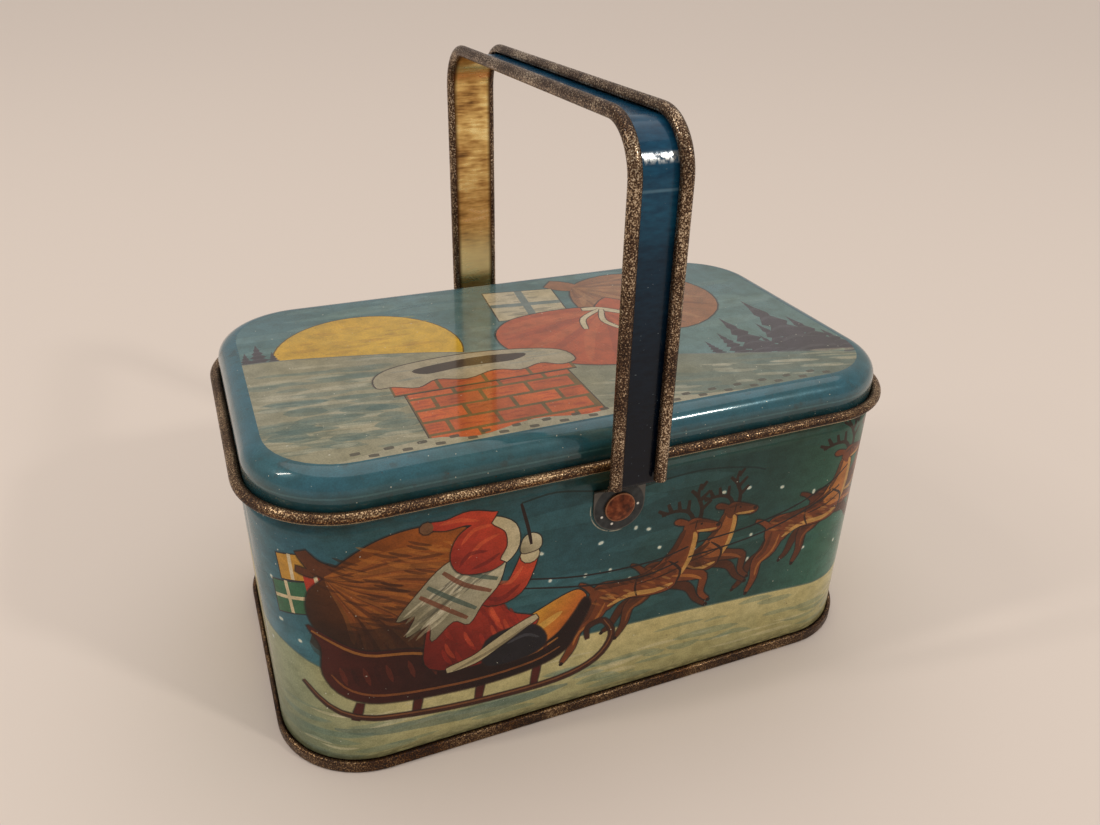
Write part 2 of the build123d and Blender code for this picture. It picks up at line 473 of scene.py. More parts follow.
def sky(x, y):
    """Blue at the left, deep green past the middle, paler at the right end; deeper at the top."""
    height = np.clip((y - 15) / 30, 0, 1)
    stops = (-60, 10, 28, 38, 52)
    tones = ((62, 45, 42, 58, 74), (118, 82, 78, 104, 132), (142, 88, 76, 94, 116))
    return np.stack([np.interp(x, stops, tone) * (1.06 - 0.16 * height) for tone in tones], axis=-1)


def snow(x, y):
    """Cream at the skyline, a greyer olive towards the base, and in shade near the left corner."""
    near, far = np.array([176, 174, 130.0]), np.array([222, 210, 158.0])
    t = np.clip((y - 2) / 16, 0, 1)[..., None]
    shade = np.array([0.66, 0.76, 0.84])
    lit = np.interp(x, (-77, -64, -52, -34), (1, 0.1, 0.1, 1))[..., None]
    return (near * (1 - t) + far * t) * (shade * (1 - lit) + lit)


def mottled_sky():
    """Faint lighter and darker washes over the sky."""
    shapes = flecks(26, (-70, 18, 70, 44), 16.0, 3.6, (96, 160, 176), 0.14)
    return shapes + flecks(22, (-70, 18, 70, 44), 14.0, 3.0, (44, 92, 104), 0.14)


def snow_field(top):
    """Snow below a skyline, with level strokes of shadow and light."""
    ground = curve_through(top) + [(80, 0), (-80, 0)]
    edge = stroke(top, 0.35, 1.0)
    shapes = [(ground, snow, 1.0), (edge, (96, 118, 112), 0.7)]
    shapes += flecks(46, (-74, 3, 74, 13), 7.0, 1.1, (112, 138, 128), 0.35, -0.03)
    shapes += flecks(34, (-74, 4, 74, 12), 6.0, 0.8, (222, 216, 186), 0.5, -0.03)
    shapes += flecks(14, (-50, 4, 50, 9), 9.0, 1.5, (92, 128, 124), 0.3, -0.05)
    return shapes


def snowflakes(gap, box):
    """Small pale flakes, evenly but not regularly spread."""
    x0, y0, x1, y1 = box
    shapes = []
    for i in range(int((x1 - x0) / gap)):
        for j in range(int((y1 - y0) / gap)):
            x = x0 + (i + random.uniform(0.1, 0.9)) * gap
            y = y0 + (j + random.uniform(0.1, 0.9)) * gap
            lean, size = random.uniform(-0.9, 1.6), random.uniform(0.22, 0.46)
            dx, dy = size * math.cos(lean), size * math.sin(lean)
            flake = stroke([(x - dx, y - dy), (x, y), (x + dx, y + dy)], 0.52, 0.3, 3)
            shapes += [(grown(flake, 0.16), (150, 182, 190), 0.5), (flake, (222, 232, 226), 1.0)]
    return shapes


print("sky at the left end and in the middle:", sky(-60, 30).round(), sky(0, 30).round())


# %% [markdown]
# ### The deer
# A deer is a few smooth closed outlines for body, neck and head, limbs that narrow for its legs
# and antlers, and short strokes for its fur. It could be drawn four times over. It is one
# function instead, drawn round the middle of its body, and the result is moved to four places.

# %% The deer's fur
SHADE, HORN, CHEST, FAR_LEG = (70, 40, 28), (50, 38, 32), (214, 168, 100), (84, 46, 30)


def fur(coat, light):
    """Long soft shadows and lights, the harness, short hairs, hooves and an eye."""
    shapes = []
    for line, width, colour, strength in (
        ([(-7.8, 3.2), (-3.0, 3.0), (1.4, 3.0), (4.4, 4.6)], 1.2, SHADE, 0.75),
        ([(4.0, 4.8), (5.8, 7.0), (7.2, 9.6)], 1.0, SHADE, 0.7),
        ([(7.8, 10.5), (10.0, 10.6), (12.4, 9.5)], 0.6, SHADE, 0.6),
        ([(-5.6, -0.8), (-2.0, 0.2), (2.4, -0.4), (5.6, 0.0)], 0.9, CHEST, 0.85),
        ([(6.6, 1.0), (8.2, 3.8), (9.0, 7.4), (8.8, 8.8)], 0.9, CHEST, 0.85),
        ([(9.2, 8.9), (11.2, 8.5), (12.8, 8.4)], 0.5, CHEST, 0.8),
        ([(-7.4, 1.2), (-9.0, -2.0), (-10.8, -3.0)], 0.8, SHADE, 0.5),
        ([(-6.0, 0.0), (-7.6, -2.8), (-10.4, -4.4), (-11.3, -6.6)], 0.5, light, 0.7),
        ([(5.4, 1.4), (8.8, 0.4), (10.8, -0.9)], 0.6, light, 0.8),
        ([(4.6, 4.6), (6.8, 2.2), (6.0, -0.4)], 0.5, INK, 0.85),
        ([(-0.6, 3.4), (-1.0, 1.2), (-0.6, -0.6)], 0.4, INK, 0.8),
        ([(-0.8, 1.8), (3.0, 2.0), (7.0, 2.8)], 0.3, INK, 0.8),
        ([(9.2, 10.9), (8.9, 9.2)], 0.25, INK, 0.8),
        ([(12.6, 9.2), (13.3, 8.8)], 0.7, INK, 0.9),
    ):
        shapes += marks([line], width, 0.3, colour, strength, 3)
    for i in range(40):
        x, y = random.uniform(-7.6, 5.6), random.uniform(-0.4, 3.4)
        tone = (SHADE, light, CHEST, coat)[i % 4] if y < 1.6 else (SHADE, coat, light)[i % 3]
        hair = [(x - 0.7, y + 0.35), (x, y), (x + 0.9, y - 0.6)]
        shapes += marks([hair], 0.42, 0.15, tone, 0.45, 2)
    for x, y in ((11.9, -6.5), (12.3, -5.6), (-15.8, -7.5), (-13.3, -9.7)):
        shapes.append((disc(x, y, 0.42, 6), INK, 1.0))
    return shapes + [(disc(10.0, 10.0, 0.22, 6), INK, 1.0)]


# %% The deer
def deer(coat, light):
    """A leaping deer about 25 mm long, drawn round the middle of its body."""
    fore = [(4.0, 0.6), (8.2, -1.6), (9.8, -4.4), (11.8, -6.4)]
    hind = [(-6.6, 0.6), (-9.4, -2.4), (-12.0, -3.4), (-14.2, -6.4), (-15.6, -7.2)]
    far = [(limb(fore, 2.4, 0.6), FAR_LEG, 1.0), (limb(hind, 3.6, 0.6), FAR_LEG, 1.0)]
    horns = [[(8.6, 10.8), (7.6, 12.8), (5.4, 13.6), (3.0, 13.4)], [(7.4, 12.8), (7.6, 15.0)],
             [(6.0, 13.4), (5.8, 15.2)], [(4.6, 13.6), (4.0, 15.2)], [(3.8, 13.4), (2.4, 14.4)],
             [(9.6, 10.8), (9.8, 13.0), (9.0, 15.4), (9.4, 17.4)], [(9.7, 12.6), (11.4, 14.0)],
             [(9.4, 14.4), (11.0, 15.8)], [(9.1, 15.2), (7.8, 16.6)], [(9.3, 16.4), (10.4, 17.6)]]
    antlers = [(limb(line, 0.86, 0.5, 3), HORN, 1.0) for line in horns]
    body = [(-8.4, 2.6), (-6.6, 4.0), (-3.0, 3.4), (0.6, 3.4), (3.8, 4.8), (6.2, 4.4), (7.0, 1.6),
            (5.2, -0.9), (1.2, -1.0), (-3.0, -0.2), (-6.0, -1.6), (-8.6, -0.2)]
    neck = [(2.8, 4.0), (5.2, 6.8), (6.9, 9.6), (9.0, 9.8), (9.4, 7.0), (8.2, 3.8), (6.9, 1.2),
            (3.6, 1.6)]
    head = [(6.9, 10.0), (8.2, 11.3), (9.8, 11.0), (12.0, 9.9), (13.4, 9.0), (13.2, 8.2),
            (12.0, 8.0), (10.0, 8.6), (8.2, 8.2)]
    tail = [(-8.0, 2.8), (-9.2, 4.2), (-10.2, 4.9)]
    thigh = [(-6.0, 1.6), (-8.2, -2.2), (-10.6, -3.6), (-11.6, -7.0), (-13.2, -9.4)]
    knee = [(4.6, 1.8), (8.6, 0.6), (11.0, -0.4), (10.8, -3.6), (12.2, -5.4)]
    ear = [(7.8, 10.6), (6.0, 11.4), (5.4, 11.2)]
    near = [
        (limb(tail, 1.2, 0.5), coat, 1.0),
        (limb(thigh, 4.6, 0.7), coat, 1.0),
        (limb(knee, 3.0, 0.7), coat, 1.0),
        (stroke(ear, 1.1, 0.3), coat, 1.0),
        form(body, shaded((0, 4.4), (0.6, -1.4), coat, light)),
        form(neck, shaded((4.4, 6.4), (8.4, 5.0), coat, light)),
        form(head, shaded((9, 11), (10, 8.2), coat, light)),
    ]
    return figure(far, 0.2) + antlers + figure(near, 0.22) + fur(coat, light)


# %% [markdown]
# ### The sleigh, its load and its driver
# The load stands behind the sleigh's body, and the driver sits in front of the load, so they are
# painted in that order. Cloth and wood are the same on the print: one smooth outline with a
# shaded colour, then many short strokes along the folds or the grain.

# %% The load
RED, CREAM, MUSTARD, MAROON = (186, 62, 44), (222, 206, 174), (204, 152, 62), (84, 34, 30)
SACK_LIGHT, SACK_DARK = (188, 118, 52), (62, 34, 22)


def load_of_parcels():
    """Three tied parcels behind the sack."""
    parcels = [
        ([(-53.0, 29.5), (-47.0, 31.0), (-47.6, 36.4), (-53.4, 35.0)], (58, 112, 84), 1.0),
        ([(-51.4, 36.0), (-47.0, 36.8), (-47.2, 41.2), (-51.8, 40.2)], MUSTARD, 1.0),
        ([(-47.2, 33.0), (-43.0, 34.4), (-44.0, 40.0), (-47.8, 38.6)], RED, 1.0),
    ]
    ribbons = [[(-50.2, 30.2), (-50.8, 35.8)], [(-49.4, 36.4), (-49.6, 40.8)],
               [(-53.2, 32.4), (-47.2, 33.6)], [(-45.3, 33.8), (-46.1, 39.2)]]
    return figure(parcels) + marks(ribbons, 0.6, 1.0, CREAM, 1.0, 2)


def big_sack():
    """A sack tied at the upper left; its folds fan out from the knot."""
    outline = [(-44.6, 37.6), (-42.0, 40.2), (-38.0, 42.6), (-32.5, 43.6), (-27.0, 43.0),
               (-23.0, 40.4), (-22.0, 34.0), (-24.0, 27.0), (-30.0, 23.0), (-38.0, 22.6),
               (-44.6, 25.6), (-47.6, 30.0), (-47.4, 34.4)]
    knot = [(-43.0, 38.0), (-45.8, 39.6), (-47.6, 41.6), (-46.0, 38.4), (-48.6, 38.6)]
    tie_x, tie_y = -44.6, 37.8
    hessian = shaded((-47, 27), (-30, 41), (50, 28, 18), (158, 86, 32))
    shapes = figure([(limb(knot, 3.0, 1.0), (96, 54, 34), 1.0), form(outline, hessian)], 0.3)
    for i in range(44):
        t = i / 43
        turn = math.radians(-80 + 88 * t)
        far = 15.0 + 9.5 * math.sin(math.pi * t) + random.uniform(-2, 2)
        end = (tie_x + far * math.cos(turn), tie_y + far * math.sin(turn) * 0.86)
        bow = (tie_x + far * 0.5 * math.cos(turn + 0.16), tie_y + far * 0.5 * math.sin(turn + 0.16))
        colour = (SACK_DARK, SACK_LIGHT, (150, 78, 36), SACK_LIGHT, (120, 60, 32))[i % 5]
        fold = [(tie_x, tie_y), bow, end]
        shapes += marks([fold], random.uniform(0.6, 1.8), 0.1, colour, 0.42)
    for i in range(60):
        x, y = random.uniform(-45, -25), random.uniform(26, 42)
        if y > 30 + (x + 45) * 0.75 + 8:
            continue
        warm = (x + 45) / 20 + (y - 26) / 16
        colour = SACK_LIGHT if warm > 1.0 and i % 2 else SACK_DARK
        thread = [(x - 1.6, y + 0.9), (x, y), (x + 1.8, y - 0.7)]
        shapes += marks([thread], 0.5, 0.1, colour, 0.5, 3)
    underside = [(-47.6, 27.0), (-42.0, 25.4), (-34.0, 24.6), (-27.0, 25.2)]
    shapes += marks([underside], 6.0, 0.5, (54, 32, 24), 0.55)
    return shapes + marks([underside], 9.0, 0.4, (54, 32, 24), 0.35)


# %% The sleigh
def sleigh():
    """From far to near: a shadow on the snow, struts and runner, dash, body and rails."""
    body = [(-48.2, 28.6), (-45.6, 27.4), (-40.5, 24.2), (-33.5, 22.4), (-28.0, 19.8), (-22, 16.8),
            (-15.2, 15.6), (-10.6, 17.2), (-7.6, 20.6), (-5.6, 23.6), (-4.6, 21.8), (-6.4, 17.8),
            (-8.8, 13.8), (-14.0, 11.9), (-24.0, 11.4), (-36.0, 12.8), (-43.5, 15.4),
            (-46.6, 19.6), (-46.4, 25.0)]
    dash = [(-15.6, 15.6), (-10.9, 17.2), (-5.6, 22.6), (-6.2, 25.2), (-8.4, 25.4), (-13.4, 23.4),
            (-18.0, 21.2), (-18.4, 17.2)]
    runner = [(-50.2, 17.4), (-44.6, 12.2), (-34.0, 9.4), (-22.0, 8.0), (-10.0, 7.9), (-3.2, 10.0),
              (-0.4, 14.2), (-2.0, 17.8), (-4.8, 17.2), (-4.8, 14.8)]
    shapes = marks([[(-46, 8.6), (-25, 6.0), (-8, 6.0)]], 2.2, 0.2, (104, 124, 116), 0.6)
    for x, low in ((-42.0, 10.6), (-33.0, 8.8), (-23.0, 7.8), (-13.6, 7.6)):
        shapes += figure(marks([[(x - 0.6, low), (x + 0.4, 14.0)]], 1.3, 0.8, MAROON, 1.0, 2), 0.2)
    shapes += figure(marks([runner], 1.1, 0.5, (70, 40, 32)), 0.2)
    shapes += marks([[(x, y + 0.2) for x, y in runner[:-2]]], 0.35, 0.4, (150, 98, 62), 0.7)
    shapes += figure([form(dash, shaded((-16, 22), (-9, 17), (222, 170, 64), (196, 98, 42)))], 0.24)
    shapes += marks([[(-17.2, 18.4), (-13.0, 20.0), (-9.4, 22.0)]], 1.4, 0.2, (232, 188, 98), 0.7)
    shapes += figure([form(body, shaded((-46, 20), (-22, 16), (78, 30, 26), (36, 20, 20)))], 0.28)
    rail = [(-47.6, 27.8), (-45.2, 26.4), (-40.2, 23.3), (-33.3, 21.5), (-27.8, 18.8), (-21.8, 15.9),
            (-15.0, 14.8), (-10.0, 16.8)]
    shapes += marks([rail], 0.5, 0.6, (168, 112, 58), 0.9)
    foot = [(-45.4, 19.8), (-42.6, 16.6), (-35.8, 14.2), (-24.0, 12.8), (-14.4, 13.2), (-9.6, 14.8)]
    shapes += marks([foot], 0.45, 0.5, (150, 92, 50), 0.8)
    for i in range(20):
        x = -44.0 + 1.65 * i
        y = 19.5 - 0.16 * i - 0.02 * i * (i % 3)
        colour = ((120, 52, 38), (56, 24, 24))[i % 2]
        shapes += marks([[(x, y + 1.8), (x + 0.8, y - 1.8)]], 0.8, 0.2, colour, 0.55, 3)
    return shapes


print("the sleigh is", len(sleigh()), "shapes, its parcels", len(load_of_parcels()))


# %% The driver's coat
def driver_coat():
    """Coat and sleeve, a dark blanket over the lap, and a pale hem."""
    coat = [(-31.0, 17.6), (-31.4, 23.0), (-29.6, 29.0), (-26.6, 33.6), (-22.0, 35.2), (-19.4, 33.0),
            (-19.8, 28.6), (-18.0, 24.6), (-13.6, 22.2), (-15.4, 19.6), (-23.0, 15.8)]
    lap = [(-22.0, 20.0), (-17.2, 21.4), (-13.6, 20.4), (-12.0, 17.0), (-15.0, 14.8), (-22.0, 15.0)]
    shapes = figure([form(coat, shaded((-30, 19), (-20, 31), (112, 32, 28), (186, 60, 40)))], 0.24)
    for i in range(26):
        x = random.uniform(-29, -17)
        y = random.uniform(18.5, 27) + (x + 17) * 0.1
        colour = ((122, 34, 30), (218, 92, 58), (170, 50, 38))[i % 3]
        fold = [(x, y + 1.8), (x + 0.5, y), (x + 1.4, y - 1.6)]
        shapes += marks([fold], 0.7, 0.12, colour, 0.5, 3)
    shapes += figure([form(lap, (34, 32, 40))], 0.22)
    hem = [(-13.6, 22.4), (-17.0, 20.8), (-20.6, 18.8), (-24.0, 17.0), (-28.4, 16.2)]
    shapes += figure(marks([hem], 1.8, 0.5, (190, 180, 150)), 0.18)
    shapes += marks([[(-14.6, 21.4), (-20.4, 18.2), (-27.4, 15.8)]], 0.6, 0.3, (120, 112, 90), 0.6)
    shapes += marks([[(-18.6, 18.4), (-15.6, 19.2), (-13.2, 18.0)]], 0.6, 0.2, (84, 88, 100), 0.6)
    arm = [(-23.2, 31.6), (-20.8, 28.6), (-17.4, 29.2), (-15.6, 32.6), (-15.0, 34.6)]
    sleeve = shaded((-22, 28), (-17, 33), (140, 42, 34), (206, 76, 50))
    shapes += figure([(limb(arm, 4.6, 2.8), sleeve, 1.0)], 0.22)
    shapes += marks([[(-22.0, 28.6), (-19.4, 27.6), (-16.4, 29.6)]], 0.9, 0.15, (112, 32, 30), 0.6)
    return shapes + marks([[(-20.6, 31.2), (-18.0, 30.4), (-16.0, 32.8)]], 0.8, 0.15, (226, 108, 70), 0.6)


# %% The driver's shawl, hood and whip
def driver_shawl():
    """A pale woollen shawl with a ragged edge and four woven stripes."""
    wool = shaded((-33, 26), (-20, 37), (128, 124, 104), (214, 208, 184))
    shawl = [(-18.8, 36.6), (-23.0, 37.8), (-28.0, 36.2), (-32.0, 32.4), (-35.4, 28.2), (-32.6, 28.4),
             (-34.2, 24.8), (-30.6, 26.2), (-30.4, 22.8), (-27.0, 25.6), (-24.6, 24.4), (-22.4, 27.6),
             (-19.6, 31.0)]
    shapes = figure([form(shawl, wool)], 0.16)
    for i in range(58):
        t = random.random()
        x, y = -20.4 - 12.4 * t, 35.6 - 8.6 * t + random.uniform(-3.6, 3.0) * (0.5 + t * 0.5)
        colour = ((232, 226, 204), (108, 106, 90), (178, 172, 148), (86, 84, 74))[i % 4]
        line = [(x + 1.8, y + 1.1), (x, y + random.uniform(-0.3, 0.3)), (x - 2.0, y - 1.6)]
        shapes += marks([line], random.uniform(0.35, 0.7), 0.1, colour, 0.5, 3)
    for line, colour in (([(-31.8, 31.6), (-28.6, 28.8), (-24.8, 25.6)], (116, 62, 44)),
                         ([(-30.6, 33.0), (-27.4, 30.2), (-23.4, 27.0)], (74, 94, 88)),
                         ([(-28.2, 35.0), (-25.2, 32.0), (-21.0, 29.6)], (116, 62, 44)),
                         ([(-26.6, 36.0), (-23.8, 33.4), (-20.0, 31.6)], (74, 94, 88))):
        shapes += marks([line], 0.8, 0.75, colour, 0.75, 3)
    return shapes


def driver_hood():
    """The hood from behind, with its hanging peak and a strip of its pale brim."""
    hood = [(-25.4, 34.0), (-27.0, 37.0), (-25.8, 40.6), (-22.6, 42.4), (-19.0, 41.6), (-17.6, 38.6),
            (-18.2, 35.2), (-21.0, 33.4)]
    peak = [(-20.6, 42.0), (-24.0, 43.4), (-27.4, 43.0), (-29.6, 43.4)]
    crown = shaded((-26, 35), (-20, 42), (150, 46, 36), (206, 72, 48))
    shapes = figure([(limb(peak, 3.4, 1.2), crown, 1.0), form(hood, crown),
                     (disc(-30.2, 43.2, 1.0, 9), (120, 84, 60), 1.0)], 0.22)
    lit = [[(-25.4, 39.0), (-23.4, 41.2), (-20.4, 41.4)], [(-24.4, 36.4), (-22.4, 38.6), (-19.6, 39.6)],
           [(-22.6, 42.6), (-25.6, 43.4), (-28.4, 43.3)]]
    dim = [[(-25.8, 35.2), (-24.2, 37.2), (-21.4, 37.0)], [(-24.0, 34.4), (-21.6, 35.0), (-19.6, 36.2)]]
    shapes += marks(lit, 0.7, 0.12, (226, 104, 66), 0.6, 3)
    shapes += marks(dim, 0.7, 0.12, (110, 32, 30), 0.6, 3)
    brim = [(-20.4, 42.2), (-17.9, 40.2), (-17.5, 37.0), (-19.0, 34.6)]
    return shapes + figure(marks([brim], 1.9, 0.6, (208, 198, 170)), 0.18)


def mitten_and_whip():
    """A pale cuff and mitten, and the whip's stock and long lash."""
    shapes = figure([(disc(-14.9, 34.6, 1.5, 12), (206, 196, 166), 1.0)], 0.18)
    mitten = [(-16.2, 35.2), (-16.0, 37.6), (-14.6, 38.4), (-13.2, 37.4), (-13.4, 35.4)]
    shapes += figure([form(mitten, shaded((-16, 35), (-14, 38), (150, 142, 118), (220, 212, 186)))], 0.18)
    whip = [(-14.7, 36.4), (-15.2, 39.4), (-16.3, 44.0)]
    lash = [(-16.3, 44.0), (-11.0, 44.6), (-5.0, 43.4), (1.0, 42.2), (6.0, 42.6), (14.0, 42.9),
            (22.0, 41.6), (25.6, 40.4)]
    return shapes + marks([whip], 0.55, 0.7, INK) + marks([lash], 0.34, 0.8, (30, 52, 54), 0.9)


# %% Put the front picture together
FAR_DEER, NEAR_DEER = ((96, 52, 34), (150, 86, 48)), ((124, 66, 38), (190, 122, 62))


def front_picture():
    """Sky and snow, four deer, their reins, and the sleigh with its load and driver."""
    shapes = mottled_sky() + snow_field(SNOW_TOP) + snowflakes(6.2, (-77, 20, 77, 44.8))
    shapes += moved(deer(*FAR_DEER), 44.5, 31.5, 0.98, 14)
    shapes += moved(deer(*NEAR_DEER), 36.5, 27.6, 1.02, 12)
    shapes += moved(deer((100, 56, 36), (156, 92, 50)), 12.6, 23.6, 0.98, 4)
    shapes += moved(deer(*NEAR_DEER), 4.4, 21.6, 1.06, 2)
    reins = [[(-16.8, 30.4), (-6.0, 28.0), (6.0, 27.4), (12.6, 28.6)],
             [(-17.2, 28.8), (-6.0, 26.0), (4.0, 24.8), (11.0, 26.0)],
             [(14.0, 29.0), (24.0, 29.6), (34.0, 32.0), (43.4, 37.0)],
             [(12.8, 26.4), (24.0, 27.2), (33.0, 29.4), (42.0, 33.4)]]
    shapes += marks(reins, 0.34, 0.9, (38, 36, 40), 0.95)
    shapes += load_of_parcels() + big_sack() + sleigh()
    return shapes + driver_coat() + driver_shawl() + driver_hood() + mitten_and_whip()


wall_front = print_layer("wall_front_print", WALL_OUTLINE, sky, front_picture(), wall_guides(),
                         WALL_DOTS, wall_place(1))

# %% [markdown]
# ## The picture on the back
# The back carries the rest of the landscape: pines and a cottage with lit windows. The snow line
# and the sky meet the front picture's at the middle of each end. The wall's lock seam shows as a
# thin dark line with a light one beside it.

# %% Pines
def pine(x, y, height, colour, light):
    """A snow-dusted pine: tiers that narrow towards the tip."""
    tiers, half = 5, height * 0.27
    left, right = [], []
    for i in range(tiers):
        low, span = y + height * i / (tiers + 0.6), half * (1 - i / (tiers + 0.2))
        left += [(x - span, low), (x - span * 0.42, low + height * 0.13)]
        right += [(x + span * 0.94, low + 0.1), (x + span * 0.38, low + height * 0.13)]
    shapes = [(left + [(x, y + height)] + right[::-1], colour, 1.0)]
    for i in range(tiers):
        low, span = y + height * (i + 0.35) / (tiers + 0.6), half * (1 - i / (tiers + 0.2)) * 0.7
        dusting = [(x - span, low), (x, low + height * 0.05), (x + span, low - 0.1)]
        shapes += marks([dusting], height * 0.035, 0.1, light, 0.55, 3)
    return shapes


print("a pine is", len(pine(0, 0, 10, INK, INK)), "shapes")


# %% Cottage
def cottage(x, y):
    """A cottage that stands at a place: walls, roof, chimney, lit windows, door and smoke."""
    roof = [(x - 10, y + 5.8), (x + 10, y + 5.8), (x + 6.6, y + 12), (x - 6.6, y + 12)]
    shapes = figure([(rectangle(x + 3.2, y + 11, x + 5.4, y + 15), (150, 72, 50), 1.0),
                     (rectangle(x - 8, y, x + 8, y + 6.5), (142, 96, 66), 1.0),
                     (roof, (206, 200, 170), 1.0)])
    for px in (-5.2, 4.0):
        pane = rectangle(x + px, y + 2, x + px + 2.6, y + 4.8)
        shapes += figure([(pane, (232, 184, 86), 1.0)], 0.2)
        shapes += marks([[(x + px + 1.3, y + 2), (x + px + 1.3, y + 4.8)]], 0.25, 1.0, INK, 1.0, 2)
    shapes += figure([(rectangle(x - 1.4, y, x + 1.2, y + 4.6), MAROON, 1.0)], 0.2)
    slates = [[(x - 8 + 3 * i, y + 7), (x - 7 + 2.7 * i, y + 11)] for i in range(6)]
    shapes += marks(slates, 0.5, 0.2, (150, 160, 148), 0.5, 2)
    smoke = [(x + 4.3, y + 15), (x + 5.4, y + 17.4), (x + 4.2, y + 20), (x + 6.6, y + 23)]
    return shapes + marks([smoke], 1.6, 0.4, (150, 172, 172), 0.5)


print("the cottage is", len(cottage(0, 0)), "shapes")


# %% Put the back picture together
FENCE = (112, 74, 52)


def back_picture():
    """Hills and far pines, snow, near pines, the cottage, a fence, and the wall's lock seam."""
    hills = [(-79, 18), (-62, 24), (-40, 23.5), (-18, 28), (6, 25), (30, 28.5), (54, 25), (79, 18)]
    shapes = mottled_sky()
    shapes.append((curve_through(hills) + [(79, 10), (-79, 10)], (104, 146, 150), 0.8))
    for i in range(22):
        x = -64 + 6.1 * i + random.uniform(-2, 2)
        shapes += pine(x, 20.5, random.uniform(5, 9), (52, 88, 92), (120, 150, 148))
    shapes += snow_field([(x, y + 1.5) if abs(x) < 60 else (x, y) for x, y in SNOW_TOP])
    shapes += snowflakes(6.2, (-77, 26, 77, 44.8))
    for x, y, height in ((-50, 15, 17), (-43, 13, 13), (-35, 15.5, 19), (34, 12, 20), (42, 11, 14),
                         (49, 12.5, 18), (25, 13.5, 12)):
        shapes += pine(x, y, height, (40, 58, 56), (196, 200, 178))
    shapes += cottage(-8, 14)
    for i in range(9):
        x = 6 + 2.1 * i
        post = [(x, 12.6 - 0.1 * i), (x, 16.2 - 0.1 * i)]
        shapes += figure(marks([post], 0.7, 0.9, FENCE, 1.0, 2), 0.15)
    shapes += marks([[(5, 15.2), (14, 14.8), (23.6, 14.2)]], 0.5, 0.9, FENCE)
    seam = [(-21.5, 1.0), (-21.5, 60.0)]
    shapes += marks([seam], 0.34, 1.0, (38, 34, 28), 0.7, 2)
    return shapes + marks([[(x + 0.3, y) for x, y in seam]], 0.2, 1.0, (196, 190, 166), 0.4, 2)


def back_sky(x, y):
    """The front's sky mirrored, so that both meet in one colour at each end."""
    return sky(-x, y)


wall_back = print_layer("wall_back_print", WALL_OUTLINE, back_sky, back_picture(), wall_guides(),
                        WALL_DOTS, wall_place(-1))

# %% [markdown]
# ## The lid's print
# A lid is drawn from a flat printed sheet too. On the sheet, everything beyond the flat top goes
# over the rounded shoulder and down the skirt, by its distance out from the corner axes.

# %% The lid's shape
LID_FLAT = 11.27               # how far the flat top reaches, out from the corner axes
SHOULDER = 3.15                # radius of the rounded shoulder, at the ink
LID_Z = 50.65                  # height of that arc's centre
SKIRT_END = 47.62              # height where the print ends
LID_REACH = LID_FLAT + SHOULDER * math.pi / 2 + LID_Z - SKIRT_END


def lid_place(x, y):
    """Bend the flat sheet over the lid."""
    base = Vector((min(max(x, -WALL_AXIS[0]), WALL_AXIS[0]),
                   min(max(y, -WALL_AXIS[1]), WALL_AXIS[1]), 0))
    reach = Vector((x, y, 0)) - base
    out, far = reach.normalized(), reach.length
    turn = min(max(far - LID_FLAT, 0) / SHOULDER, math.pi / 2)
    down = max(0.0, far - LID_FLAT - SHOULDER * math.pi / 2)
    u = min(far, LID_FLAT) + SHOULDER * math.sin(turn)
    z = LID_Z + SHOULDER * math.cos(turn) - down
    normal = out * math.sin(turn) + Vector((0, 0, math.cos(turn)))
    return tuple(base + out * u + Vector((0, 0, z))), tuple(normal)


def lid_ring(reach, steps=14):
    """A rectangle with rounded corners, reach out from the corner axes."""
    ring = []
    for quarter, (sx, sy) in enumerate(((1, 1), (-1, 1), (-1, -1), (1, -1))):
        for i in range(steps + 1):
            turn = math.pi / 2 * (quarter + i / steps)
            ring.append((sx * WALL_AXIS[0] + reach * math.cos(turn),
                         sy * WALL_AXIS[1] + reach * math.sin(turn)))
    return ring


def lid_guides(steps=9):
    """Rings round the shoulder, and lines from each point of its upper ring down the skirt."""
    rings = [LID_FLAT + SHOULDER * math.pi / 2 * i / steps for i in range(steps + 1)]
    lines = [(lid_ring(reach), True) for reach in rings]
    inner, outer = lid_ring(LID_FLAT), lid_ring(LID_REACH)
    return lines + [([a, b], False) for a, b in zip(inner, outer)]


print("the lid's sheet reaches", round(LID_REACH, 2), "mm out from the corner axes")

# %% [markdown]
# ## The picture on the lid
# A blue border round a moonlit roof scene: the moon behind a snowy slope, pines, a brick chimney
# capped with snow, and two sacks and a parcel set down beside it. A row of footprints crosses
# the snow along the front.

# %% The lid's plain colours
def lid_base(x, y):
    """Blue over the shoulder, painted darker down the skirt as shade."""
    dx = np.maximum(np.abs(x) - WALL_AXIS[0], 0)
    dy = np.maximum(np.abs(y) - WALL_AXIS[1], 0)
    # painted shade down the skirt, which faces sideways
    painted_shade_from, over = 15.6, 0.8
    t = np.clip((np.hypot(dx, dy) - painted_shade_from) / over, 0, 1)[..., None]
    return np.array([46, 104, 126.0]) * (1 - t) + np.array([34, 84, 98.0]) * t


def evening(x, y):
    """A dim blue-green sky, paler near the ground."""
    low, high = np.array([102, 138, 144.0]), np.array([72, 118, 132.0])
    t = np.clip((y + 10) / 38, 0, 1)[..., None]
    return low * (1 - t) + high * t


